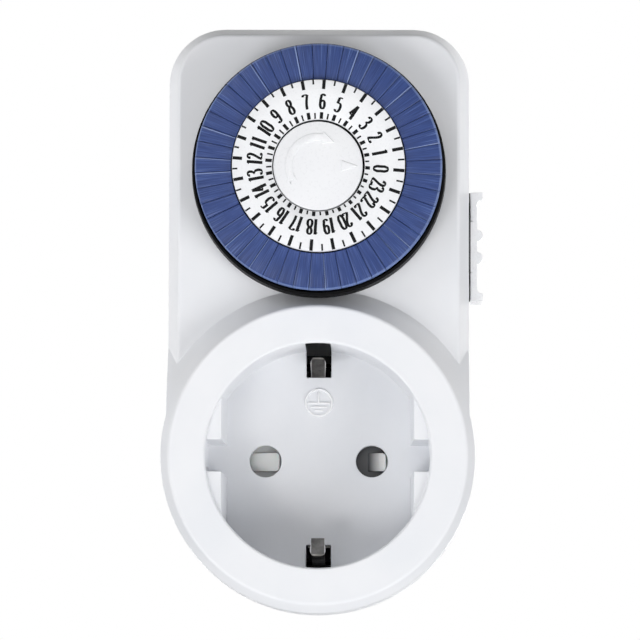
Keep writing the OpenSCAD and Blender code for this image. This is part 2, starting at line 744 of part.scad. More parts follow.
// A dial's pieces turn about the dial's axis
module on_dial() upright() translate(dial_axis) rotate(dial_turn) children();

// One tooth outline after another, on a root circle
module gear(teeth, low, high, turn) rotate(turn) slab(low, high) {
    r = pitch_r(teeth);
    tip = r + tooth_h;
    root = r - 1.2 * gear_module;
    quarter = 90 / teeth;
    polygon([for (i = [0:teeth - 1]) let (a = 360 * i / teeth) each [
        polar(root, a - 1.35 * quarter), polar(r, a - 0.92 * quarter), polar(tip, a - 0.4 * quarter),
        polar(tip, a + 0.4 * quarter), polar(r, a + 0.92 * quarter), polar(root, a + 1.35 * quarter)]]);
}

bore_d = post_d + 2 * turn_gap;
web_in_r = cap_r + slide_gap + 0.1;
gear_rim_r = pitch_r(dial_teeth) - 1.2 * gear_module - 1.4;

module dial_carrier() color("#1c1c1e") on_dial() difference() {
    union() {
        difference() {
            rotate_extrude() polygon([
                [0, skirt_h], [skirt_r, skirt_h], [skirt_r - 0.15, rim_h - 0.2], [skirt_r - 0.3, rim_h],
                [tab_out_r + slide_gap, rim_h], [tab_out_r + slide_gap, carrier_floor_h],
                [tab_in_r - slide_gap, carrier_floor_h], [tab_in_r - slide_gap - 0.05, scale_back_h],
                [0, scale_back_h]]);
            translate([0, 0, carrier_floor_h]) difference() {
                cylinder(r = tab_in_r - slide_gap - 1.1, h = ring_h);
                cylinder(r = web_in_r + 1.2, h = ring_h);
            }
            rod(2 * web_in_r, carrier_floor_h, scale_top_h);
        }
        rod(hub_d, carrier_floor_h - carrier_floor_t / 2, cap_back_h - near_gap);
    }
    rod(bore_d, skirt_h - cut, scale_top_h);
    for (i = [0:47]) rotate((i + 0.5) * tab_pitch) translate([leg_r, 0, 0])
        slab(skirt_h - cut, carrier_floor_h + cut)
            square([leg_l + 2 * slide_gap, leg_w + 2 * slide_gap], center = true);
}

// The gear ring behind the carrier, joined to its hub by a web that lies on the carrier's floor
module dial_gear() color("#1c1c1e") upright() translate(dial_axis) difference() {
    union() {
        difference() {
            gear(dial_teeth, gear_rear_h, skirt_h, 0);
            rod(2 * gear_rim_r, gear_rear_h - cut, skirt_h - carrier_floor_t);
        }
        rod(hub_d, gear_rear_h, skirt_h);
    }
    rod(bore_d, gear_rear_h - cut, skirt_h + cut);
}

module tab(index) rotate((index + 0.5) * tab_pitch) {
    span = tab_pitch - tab_gap;
    rotate(-span / 2) rotate_extrude(angle = span)
        translate([tab_in_r, tab_top_h - tab_head_t]) square([tab_out_r - tab_in_r, tab_head_t]);
    translate([leg_r, 0, 0]) slab(leg_tip_h, tab_top_h - tab_head_t / 2) square([leg_l, leg_w], center = true);
}

module tabs_hour(hour) color("#475a9c") on_dial() for (half = [0, 1]) tab(2 * hour + half);

module scale_disc() color("white") on_dial() slab(scale_back_h, scale_top_h) difference() {
    circle(r = scale_r);
    circle(r = cap_r + slide_gap);
}

module centre_cap() color("white") upright() translate(dial_axis) {
    rod(cap_d, cap_back_h, scale_top_h);
    rod(post_bore - 2 * press_gap, frame_front_h, scale_top_h - cap_t / 2);
}

module dial_washer() color("silver") upright() translate(dial_axis)
    slab(gear_rear_h - 0.5, gear_rear_h - 0.1) difference() {
        circle(d = hub_d);
        circle(d = post_d + 2 * press_gap);
    }

// ---------------------------------------------------------------- movement

large_pinion_h = [gear_rear_h - 0.7, under_deck_h - near_gap];
large_wheel_h = [gear_rear_h - 1.9, gear_rear_h - 0.7];
small_pinion_h = [gear_rear_h - 2.2, gear_rear_h - 0.4];
small_wheel_h = [gear_rear_h - 3.2, gear_rear_h - 2.2];
motor_pinion_h = [gear_rear_h - 3.4, gear_rear_h - 2];
gear_hub_d = 3.4;

// A wheel, the pinion beside it, and the hub that keeps both off the frame
module compound_gear(at, turn, wheel_teeth, wheel_h, pinion_h) translate(at) difference() {
    union() {
        gear(wheel_teeth, wheel_h[0], wheel_h[1], turn);
        gear(pinion_teeth, min(pinion_h[0], wheel_h[1] - 0.2), pinion_h[1], turn);
        rod(gear_hub_d, frame_front_h + 0.2, wheel_h[0] + 0.2);
    }
    rod(axle_d + 2 * turn_gap, frame_h, deck_h);
}

module idler_gear_large() color("ivory") upright()
    compound_gear(large_at, large_turn, big_wheel_teeth, large_wheel_h, large_pinion_h);
module idler_gear_small() color("ivory") upright()
    compound_gear(small_at, small_turn, small_wheel_teeth, small_wheel_h, small_pinion_h);
module gear_axles() color("silver") upright() for (at = [large_at, small_at])
    translate(at) rod(axle_d, frame_h, large_pinion_h[1]);
module motor_pinion() color("ivory") upright() translate(motor_out) difference() {
    gear(motor_teeth, motor_pinion_h[0], motor_pinion_h[1], motor_turn);
    rod(motor_shaft_d, frame_h, deck_h);
}
module motor_shaft() color("silver") upright() translate(motor_out)
    rod(motor_shaft_d, frame_h - 3, motor_pinion_h[1] + 0.5);

can_wall = 0.6;
lid_t = 1;

module motor_can() color("silver") upright() translate(motor_at) difference() {
    rod(motor_d, motor_back_h, frame_h - lid_t);
    rod(motor_d - 2 * can_wall, motor_back_h + can_wall, frame_h);
}
module motor_lid() color("silver") upright() difference() {
    translate(motor_at) rod(motor_d, frame_h - lid_t, frame_h);
    translate(motor_out) rod(motor_shaft_d + 2 * turn_gap, frame_h - 2 * lid_t, frame_h + cut);
}
module motor_coil() color("saddlebrown") upright() translate(motor_at) difference() {
    rod(motor_d - 2 * can_wall - 0.4, motor_back_h + can_wall, motor_back_h + can_wall + coil_h);
    rod(motor_d * 0.45, motor_back_h, frame_h);
}

ear_r = corner_r - wall - norm([upper_screw_x - corner_x, upper_screw_z - corner_z]) - 0.35;
ear_t = 1.3;
ear_gap = 0.3;
ear_out = [lever_out + ear_gap, lever_out + ear_gap + ear_t];
ear_in = [lever_in - ear_gap - ear_t, lever_in - ear_gap];

module movement_frame() color("dimgray") upright() difference() {
    union() {
        slab(frame_h, frame_front_h) difference() {
            union() {
                translate([-frame_side, frame_low_z]) square([2 * frame_side, corner_z - frame_low_z - 0.4]);
                left_and_right() {
                    translate([upper_screw_x, upper_screw_z]) circle(r = ear_r);
                    translate([upper_screw_x - ear_r - 1, corner_z - 4]) square([ear_r + 3, 5]);
                }
            }
            circle(r = tube_r + 0.6);
        }
        translate(dial_axis) {
            rod(post_d, frame_front_h - cut / 2, cap_back_h);
            rod(hub_d, frame_front_h - cut / 2, gear_rear_h - 0.6);
        }
        for (ear = [ear_in, ear_out])
            block([ear[0], lever_z - 2, frame_front_h - cut / 2], [ear[1], lever_z + 2, lever_h + 1.8]);
    }
    translate(dial_axis) rod(post_bore, frame_h - cut, scale_top_h);
    at_screws(lower = false) rod(spigot_d + 2 * press_gap, frame_h - cut, frame_front_h + cut);
    left_and_right() translate([peg_at[0], peg_at[1], 0])
        rod(peg_d + 2 * press_gap, frame_h - cut, frame_front_h + cut);
    for (at = [large_at, small_at]) translate(at)
        rod(axle_d + 2 * press_gap, frame_h - cut, frame_front_h + cut);
    translate(motor_out) rod(2 * motor_shaft_d, frame_h - cut, frame_front_h + cut);
    pivot_rod(lever_pin_d + 2 * press_gap, 0, half_w);
    block([load_in - near_gap, strip_turn_z - strip_t / 2 - near_gap, frame_h - cut],
          [load_out + near_gap, strip_turn_z + strip_t / 2 + near_gap, frame_front_h + cut]);
    block([live_in - near_gap, strip_turn_z - strip_t / 2 - near_gap, frame_h - cut],
          [half_w, strip_turn_z + strip_t / 2 + near_gap, frame_front_h + cut]);
}

// ---------------------------------------------------------------- switch

// A round rod along the lever's axis
module pivot_rod(d, left, right)
    translate([left, lever_z, lever_h]) rotate([0, 90, 0]) cylinder(d = d, h = right - left);

module switch_lever() color("white") upright() difference() {
    union() {
        pivot_rod(lever_hub_d, lever_in, lever_out);
        sideways(lever_in, lever_out) polygon([
            side(lever_front_h, lever_z), side(lever_front_h, nose_z - nose_w / 2),
            side(nose_h - 0.3, nose_z - nose_w / 2), side(nose_h, nose_z - nose_w / 2 + 0.25),
            side(nose_h, nose_z + nose_w / 2 - 0.25), side(nose_h - 0.3, nose_z + nose_w / 2),
            side(arm_back_h, nose_z + nose_w / 2), side(arm_back_h, lever_z + 1.2),
            side(lever_h - 1.6, lever_z), side(lever_h - 2.4, lever_z - 3),
            side(lever_h - 2.4, lever_z - 4.3), side(lever_h - 1.75, lever_z - 6.3),
            side(lever_h - 1.75, lever_tail_z), side(lever_front_h - 1.2, lever_tail_z),
            side(lever_front_h - 1.2, lever_z - 1)]);
    }
    pivot_rod(lever_pin_d + 2 * turn_gap, lever_in - cut, lever_out + cut);
}

module lever_pin() color("silver") upright() pivot_rod(lever_pin_d, ear_in[0], ear_out[1]);

module contact_bridge() color("gold") upright() {
    block([contact_in_x - 1.1, contact_z - 1.4, arm_back_h - bridge_t],
          [contact_out_x + 1.1, contact_z + 1.4, arm_back_h]);
    for (x = [contact_in_x, contact_out_x]) translate([x, contact_z, 0])
        rod(rivet_d, moving_rivet_h, arm_back_h - bridge_t / 2);
}

// ---------------------------------------------------------------- override slider

module override_slider() color("white") upright() {
    face = half_w + slide_gap;
    proud = slider_t + slider_ridge;
    slab(slider_h - slider_w / 2, slider_h + slider_w / 2) {
        translate([face, slider_z]) square([slider_t, slider_len]);
        for (end = [0, 1]) translate([face, slider_z + end * slider_len]) mirror([0, end])
            polygon(concat([[0, 0], [proud, 0], [proud, lip_t]],
                fillet([proud, lip_t], [slider_t, lip_t], [slider_t, lip_t + proud], 0.9 * slider_ridge),
                [[0, lip_t + proud]]));
        for (way = [-1, 1]) translate([face + slider_t - 0.1, ridge_mid_z + way * ridge_pitch / 2])
            circle(r = slider_ridge + 0.1);
    }
    block([keeper_out - 0.2, slider_mid_z - neck_len / 2, neck_h0],
          [face + slider_t / 2, slider_mid_z + neck_len / 2, neck_h1]);
    block([keeper_in, finger_z - 0.2, neck_h0], [keeper_out, slider_mid_z + neck_len / 2 + 2.4, neck_h1]);
    block([lever_in + 0.2, finger_z, frame_front_h + 0.4], [keeper_in + 0.5, finger_z + finger_t, lever_h - 2]);
}

// ---------------------------------------------------------------- the pieces

front_shell();
rear_shell();
plug_pin_left();
plug_pin_right();
neutral_contact();
live_strip();
load_strip();
earth_strap_top();
earth_strap_bottom();
earth_bridge();
safety_shutter();
shutter_spring();
movement_frame();
motor_can();
motor_lid();
motor_coil();
motor_shaft();
motor_pinion();
idler_gear_small();
idler_gear_large();
gear_axles();
dial_washer();
dial_gear();
dial_carrier();
scale_disc();
centre_cap();
switch_lever();
lever_pin();
contact_bridge();
override_slider();
case_screws();
for (hour = HOURS) tabs_hour(hour);
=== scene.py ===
"""Dresses the plug-in timer switch: rounded mouldings, the printed dial, its tabs, and their finishes.

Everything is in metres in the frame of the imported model: X right, Z up, and -Y towards the front.
A height is a distance in front of the face that the pins stand on, so it is -Y. Sizes are named in
millimetres and angles in degrees, counter-clockwise from the right as seen from the front.
"""
import math

import bmesh
import bpy
from mathutils import Matrix, Quaternion, Vector


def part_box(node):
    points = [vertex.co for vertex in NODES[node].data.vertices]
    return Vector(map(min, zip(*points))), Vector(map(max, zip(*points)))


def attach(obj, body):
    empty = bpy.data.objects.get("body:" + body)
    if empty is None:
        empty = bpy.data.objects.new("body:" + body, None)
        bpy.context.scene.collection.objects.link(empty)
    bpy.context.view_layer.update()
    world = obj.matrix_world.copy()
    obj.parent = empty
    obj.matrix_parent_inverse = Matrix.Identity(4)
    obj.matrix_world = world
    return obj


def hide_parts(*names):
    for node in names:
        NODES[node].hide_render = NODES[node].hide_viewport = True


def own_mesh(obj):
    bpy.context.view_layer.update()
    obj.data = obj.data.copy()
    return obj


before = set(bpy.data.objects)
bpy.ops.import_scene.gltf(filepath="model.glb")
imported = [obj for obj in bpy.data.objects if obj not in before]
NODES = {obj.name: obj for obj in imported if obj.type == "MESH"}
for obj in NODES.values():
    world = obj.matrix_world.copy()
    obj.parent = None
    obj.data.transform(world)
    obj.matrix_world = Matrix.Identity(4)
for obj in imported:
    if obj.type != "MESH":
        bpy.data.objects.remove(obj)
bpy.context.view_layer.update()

MM = 0.001
DEGREE = math.pi / 180


def node_heights(node):
    """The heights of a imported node's back and front."""
    low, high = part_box(node)
    return -high.y / MM, -low.y / MM


# The dial, as in the part's source
DIAL_CENTRE = Vector((0, 0, 50.5 * MM))
DIAL_TURN = -4.3
# The scale and the tabs sit a little up and to the right on the carrier, by the play in its slots
SCALE_CENTRE = DIAL_CENTRE + Vector((0.09, 0, 0.08)) * MM
HOURS = range(24)
HOUR_PITCH = 15
TAB_PITCH = 7.5
TAB_GAP = 0.22
TAB_IN_R, TAB_OUT_R = 15.4, 21.75
TAB_LEG_H, TAB_TOP_H = node_heights("tabs_hour_00")
SCALE_BACK_H, SCALE_TOP_H = node_heights("scale_disc")
INK_T = 0.02


# ---------------------------------------------------------------- meshes

def front(x, z, height):
    """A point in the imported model's frame, from millimetres right, up and in front of the pin face."""
    return Vector((x, -height, z)) * MM


def polar(r, angle):
    """A point r from the origin, at an angle, as (x, z)."""
    return r * math.cos(angle * DEGREE), r * math.sin(angle * DEGREE)


def direction(turn, rise):
    """A unit vector that is turned to the right and raised from the front."""
    level = math.cos(rise * DEGREE)
    return Vector((math.sin(turn * DEGREE) * level, -math.cos(turn * DEGREE) * level,
                   math.sin(rise * DEGREE)))


def new_object(name, data):
    """An object at the origin for a mesh, a curve, a lamp or a camera."""
    piece = bpy.data.objects.new(name, data)
    bpy.context.scene.collection.objects.link(piece)
    return piece


def evaluated(piece):
    """The piece's mesh with its modifiers worked in."""
    bpy.context.view_layer.update()
    depsgraph = bpy.context.evaluated_depsgraph_get()
    return bpy.data.meshes.new_from_object(piece.evaluated_get(depsgraph), depsgraph=depsgraph)


def baked(piece):
    """Works the piece's modifiers into its mesh and takes them off."""
    mesh = evaluated(piece)
    piece.modifiers.clear()
    piece.data = mesh
    return piece


def smooth(mesh, sharp=40):
    """Smooth shading, but for edges that are sharper than an angle."""
    mesh.shade_smooth()
    mesh.set_sharp_from_angle(angle=sharp * DEGREE)


def round_edges(piece, width, limit=27):
    """Rounds every edge of the piece that is sharper than the limit, and shades its flats as flat."""
    bevel = piece.modifiers.new("rounded edges", "BEVEL")
    bevel.width = width * MM
    bevel.segments = 2
    bevel.limit_method = "ANGLE"
    bevel.angle_limit = limit * DEGREE
    bevel.use_clamp_overlap = False
    bevel.miter_outer = "MITER_ARC"
    baked(piece)
    smooth(piece.data)
    weighted = piece.modifiers.new("flat faces stay flat", "WEIGHTED_NORMAL")
    weighted.keep_sharp = True
    return baked(piece)


def merged_copy(name, node, moved=None):
    """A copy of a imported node: doubles merged, flats joined up, and points moved by a rule."""
    mesh = bpy.data.meshes.new(name)
    form = bmesh.new()
    form.from_mesh(NODES[node].data)
    bmesh.ops.remove_doubles(form, verts=form.verts, dist=0.002 * MM)
    bmesh.ops.dissolve_limit(form, angle_limit=0.5 * DEGREE, verts=form.verts, edges=form.edges)
    if moved:
        for vert in form.verts:
            vert.co = moved(vert.co)
    form.to_mesh(mesh)
    form.free()
    return new_object(name, mesh)


def rounded_copy(name, node, width, moved=None):
    """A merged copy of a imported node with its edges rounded."""
    return round_edges(merged_copy(name, node, moved), width)


def plate(outline, low, high, chamfer=0):
    """A form raised from a flat outline of (x, z) between two heights, its front edges rounded."""
    form = bmesh.new()
    base = form.faces.new([form.verts.new(front(x, z, low)) for x, z in outline])
    raised = bmesh.ops.extrude_face_region(form, geom=[base])
    top = [v for v in raised["geom"] if isinstance(v, bmesh.types.BMVert)]
    bmesh.ops.translate(form, verts=top, vec=(0, (low - high) * MM, 0))
    bmesh.ops.recalc_face_normals(form, faces=form.faces)
    if chamfer:
        rim = [e for e in form.edges if all(v in top for v in e.verts)]
        bmesh.ops.bevel(form, geom=rim, offset=chamfer * MM, segments=2, affect="EDGES", profile=0.5)
    return form


def block(x0, x1, z0, z1, low, high):
    """A plain block between two places across, two up and two heights."""
    return plate([(x0, z0), (x1, z0), (x1, z1), (x0, z1)], low, high)


def mesh_of(form, name, sharp=40):
    """A form as a mesh, with its shading set."""
    mesh = bpy.data.meshes.new(name)
    form.to_mesh(mesh)
    form.free()
    smooth(mesh, sharp)
    return mesh


def form_of(piece):
    """A piece as a form: the piece is used up."""
    form = bmesh.new()
    form.from_mesh(piece.data)
    bpy.data.objects.remove(piece)
    return form


def joined(name, forms):
    """One mesh from several forms."""
    whole = bmesh.new()
    for form in forms:
        part = bpy.data.meshes.new("part")
        form.to_mesh(part)
        form.free()
        whole.from_mesh(part)
        bpy.data.meshes.remove(part)
    return mesh_of(whole, name)


def turned(name, profile, centre=Vector(), steps=144):
    """A body turned about an axis along Y: the profile is a closed ring of (radius, height)."""
    form = bmesh.new()
    rings = []
    for step in range(steps):
        x, z = polar(1, 360 * step / steps)
        rings.append([form.verts.new(front(r * x, r * z, h) + centre) for r, h in profile])
    for step in range(steps):
        here, after = rings[step], rings[(step + 1) % steps]
        for k in range(len(profile)):
            n = (k + 1) % len(profile)
            form.faces.new((here[k], here[n], after[n], after[k]))
    bmesh.ops.remove_doubles(form, verts=form.verts, dist=0.0005 * MM)
    bmesh.ops.recalc_face_normals(form, faces=form.faces)
    return new_object(name, mesh_of(form, name))


# ---------------------------------------------------------------- nodes

def linear(hex_colour):
    """An sRGB hex colour as linear light."""
    parts = [int(hex_colour[i:i + 2], 16) / 255 for i in (1, 3, 5)]
    return [c / 12.92 if c <= 0.04045 else ((c + 0.055) / 1.055) ** 2.4 for c in parts] + [1]


def feed(tree, node, inputs):
    """Gives a node's sockets their values, their hex colours, or the nodes and sockets that feed them."""
    for key, value in inputs.items() if isinstance(inputs, dict) else enumerate(inputs):
        if isinstance(value, bpy.types.Node):
            value = value.outputs[0]
        if isinstance(value, bpy.types.NodeSocket):
            tree.links.new(value, node.inputs[key])
        else:
            node.inputs[key].default_value = linear(value) if isinstance(value, str) else value


def add(tree, kind, inputs=(), **settings):
    """Adds a node: settings are its properties, and inputs are a list, or sockets by name or number."""
    node = tree.nodes.new(kind)
    for name, value in settings.items():
        setattr(node, name, value)
    feed(tree, node, inputs)
    return node


def span(low, high):
    """A span of millimetres as its middle and its half width in metres, as a comparison takes them."""
    return (low + high) / 2 * MM, (high - low) / 2 * MM


def workings(material):
    """A material's tree, its shader, the Object coordinates, and what colours the shader so far."""
    tree = material.node_tree
    shader = tree.nodes["Principled BSDF"]
    colouring = [link.from_socket for link in shader.inputs["Base Color"].links]
    return tree, shader, add(tree, "ShaderNodeTexCoord").outputs["Object"], *colouring


def new_material(name, colour, roughness, metallic=0.0, **sockets):
    """A material with its shader, and the Object coordinates that its patterns read."""
    material = bpy.data.materials.new(name)
    material.use_nodes = True
    tree, shader, place = workings(material)
    feed(tree, shader, {"Base Color": colour, "Roughness": roughness, "Metallic": metallic})
    feed(tree, shader, {socket.replace("_", " "): value for socket, value in sockets.items()})
    return material, tree, shader, place


def moulded(name, colour, shade, roughness, texture=0.3, depth=0.004, flow=14.0, **sockets):
    """An injection moulding: spark-eroded grain, faint flow marks, and a gloss that wanders a little.

    The flow marks have their real width and the texture its real depth. A tool's real grains are about
    0.05 mm wide, too fine to show, so the texture's grains are several times as wide.
    """
    material, tree, shader, place = new_material(name, colour, roughness, **sockets)
    flow_at = add(tree, "ShaderNodeVectorMath", {0: place, "Scale": 1 / (flow * MM)}, operation="SCALE")
    marks = add(tree, "ShaderNodeTexNoise", {"Vector": flow_at, "Scale": 1.0, "Detail": 3.0})
    grain_at = add(tree, "ShaderNodeVectorMath", {0: place, "Scale": 1 / (texture * MM)}, operation="SCALE")
    grain = add(tree, "ShaderNodeTexNoise", {"Vector": grain_at, "Scale": 1.0, "Detail": 3.0,
                                             "Roughness": 0.65})
    share = add(tree, "ShaderNodeMapRange", [marks, 0.3, 0.7, 0, 1])
    tint = add(tree, "ShaderNodeMix", {0: share, 6: colour, 7: shade}, data_type="RGBA")
    gloss = add(tree, "ShaderNodeMapRange", [grain, 0.3, 0.7, roughness - 0.06, roughness + 0.06])
    relief = add(tree, "ShaderNodeBump", {"Height": grain, "Distance": depth * MM})
    feed(tree, shader, {"Base Color": tint.outputs[2], "Roughness": gloss, "Normal": relief})
    return material


# An earth slot's half width, and the pocket behind it: its half width, and its reach from the socket's axis
SLOT_HALF = 2.22
POCKET_HALF = 6
POCKET_IN_Z, POCKET_OUT_R = 15.06, 24.5
RECESS_R = 20
POCKET_BACK_H = 19.2


def hollow(material, front_h):
    """Paints shade, a near black, on what lies behind the two earth slots, up to a height: a painted shade
    for the dark pockets, which little light reaches.
    """
    tree, shader, place, colour = workings(material)
    x, y, z = add(tree, "ShaderNodeSeparateXYZ", [place]).outputs
    across = add(tree, "ShaderNodeMath", [x], operation="ABSOLUTE")
    up = add(tree, "ShaderNodeMath", [z], operation="ABSOLUTE")
    flat = add(tree, "ShaderNodeVectorMath", [place, (1, 0, 1)], operation="MULTIPLY")
    r = add(tree, "ShaderNodeVectorMath", [flat], operation="LENGTH").outputs["Value"]
    bounds = [(across, -1, SLOT_HALF), (r, RECESS_R, POCKET_OUT_R),
              (across, -1, POCKET_HALF), (up, POCKET_IN_Z, POCKET_OUT_R), (r, 0, POCKET_OUT_R),
              (y, -front_h, -POCKET_BACK_H)]
    slot, wall, *pocket = [add(tree, "ShaderNodeMath", [value, *span(low, high)], operation="COMPARE")
                           for value, low, high in bounds]
    deep = add(tree, "ShaderNodeMath", [slot, wall], operation="MAXIMUM")
    for bound in pocket:
        deep = add(tree, "ShaderNodeMath", [deep, bound], operation="MULTIPLY")
    # Painted shade: a near black where the pockets lie dark
    pocket_shaded = add(tree, "ShaderNodeMix", {0: deep, 6: colour, 7: "#0C0C0E"}, data_type="RGBA")
    feed(tree, shader, {"Base Color": pocket_shaded.outputs[2]})
    return material


def worn_edges(material, low, high):
    """Paints a pale strip on metal between two distances from its middle: a painted highlight where its edges
    catch the light.
    """
    tree, shader, place, colour = workings(material)
    x = add(tree, "ShaderNodeSeparateXYZ", [place])
    across = add(tree, "ShaderNodeMath", [x], operation="ABSOLUTE")
    edge_highlit = add(tree, "ShaderNodeMapRange", [across, low * MM, high * MM, 0, 1])
    paled = add(tree, "ShaderNodeMix", {0: edge_highlit, 6: colour, 7: "#F2F0EE"}, data_type="RGBA")
    feed(tree, shader, {"Base Color": paled.outputs[2]})
    return material


# The heights up to which the shell's pockets and the earth springs in them carry painted shade
SHELL_SHADE_H, SPRING_SHADE_H = 45.9, 27.5

# ABS, injection moulded in a lightly spark-eroded tool: a cool satin white, whose grain shows in its gloss
housing_abs = hollow(moulded("moulded white ABS", "#ECEDF0", "#E6E8EC", 0.42, Specular_IOR_Level=0.45),
                     SHELL_SHADE_H)
# The same ABS from a polished tool: the cap and the scale are a little glossier and brighter
polished_abs = moulded("polished white ABS", "#EFF0F2", "#EAEBEE", 0.3, texture=0.4, depth=0.002)
# The ABS of a sign that is cut and polished into the tool, painted a shade whiter than the face it stands on:
# a painted highlight for the light that its raised faces catch
sign_abs_lit = moulded("polished ABS of a raised sign, painted lighter", "#FAFAFB", "#F5F6F8", 0.3, texture=0.4, depth=0.002)
# Black ABS from a matt tool: a deep black that stays black where the skirt turns away
carrier_abs = moulded("matt black ABS", "#0B0B0C", "#101011", 0.5, texture=0.5, depth=0.002,
                      Specular_IOR_Level=0.05)
# Natural acetal, moulded gears: waxy and slightly translucent
gear_pom = moulded("natural acetal", "#E9E4D6", "#DED8C8", 0.35, texture=0.4, depth=0.003,
                   Subsurface_Weight=0.2, Subsurface_Scale=0.001)
# Glass-filled polyester, moulded: dull dark grey with specks of fibre
frame_pbt = moulded("glass-filled polyester", "#3A3C40", "#4B4E52", 0.55, texture=0.25, depth=0.008, flow=1.5)

# The slit between the slider's plate and the housing, from the part's middle
SLIT = (26.6, 27.04)


def slider_finish():
    """ABS from a polished tool, a little glossier than the housing: a line of painted shade darkens its slit.
    """
    material = moulded("polished white ABS, slider", "#EFF0F2", "#EAEBEE", 0.3, texture=0.4, depth=0.002)
    tree, shader, place, colour = workings(material)
    x = add(tree, "ShaderNodeSeparateXYZ", [place])
    slit = add(tree, "ShaderNodeMath", [x, *span(*SLIT)], operation="COMPARE")
    # Painted shade: the narrow slit is painted a dark grey
    shade_painted = add(tree, "ShaderNodeMix", {0: slit, 6: colour, 7: "#38393C"}, data_type="RGBA")
    feed(tree, shader, {"Base Color": shade_painted.outputs[2]})
    return material


slider_abs = slider_finish()

# The shutter's lugs: half their height, and where the painted shade over the live one's pad is full and where
# it is gone
LUG_HALF = 1.62
LIVE_HOLE = (4, 14)
SHADE_FULL_TO, SHADE_GONE_FROM = 8.9, 11.8


def shutter_finish():
    """Natural polyamide, moulded: a warmer grey-white, whose sunk parts carry a painted grey shade."""
    material = moulded("natural polyamide", "#F1F1F0", "#E7E8E8", 0.38, texture=0.4, depth=0.004,
                       Subsurface_Weight=0.15, Subsurface_Scale=0.001)
    tree, shader, place, colour = workings(material)
    axes = add(tree, "ShaderNodeSeparateXYZ", [place]).outputs
    up = add(tree, "ShaderNodeMath", [axes["Z"]], operation="ABSOLUTE")
    beside = add(tree, "ShaderNodeMath", [up, LUG_HALF * MM], operation="GREATER_THAN")
    # The painted shade is lighter beside the neutral side's lug, and fades out over the live side's pad
    side = add(tree, "ShaderNodeMapRange", [axes["X"], -1 * MM, 1 * MM, 0.3, 1])
    sunk = add(tree, "ShaderNodeMath", [beside, side], operation="MULTIPLY")
    fading = add(tree, "ShaderNodeMapRange", [axes["X"], SHADE_FULL_TO * MM, SHADE_GONE_FROM * MM, 1, 0])
    live = add(tree, "ShaderNodeMath", [axes["X"], *span(*LIVE_HOLE)], operation="COMPARE")
    thinning = add(tree, "ShaderNodeMath", [fading, live], operation="MULTIPLY")
    shade_share = add(tree, "ShaderNodeMath", [sunk, thinning], operation="MAXIMUM")
    shade_painted = add(tree, "ShaderNodeMix", {0: shade_share, 6: colour, 7: "#4A4B4E"}, data_type="RGBA")
    feed(tree, shader, {"Base Color": shade_painted.outputs[2]})
    return material


shutter_pa = shutter_finish()


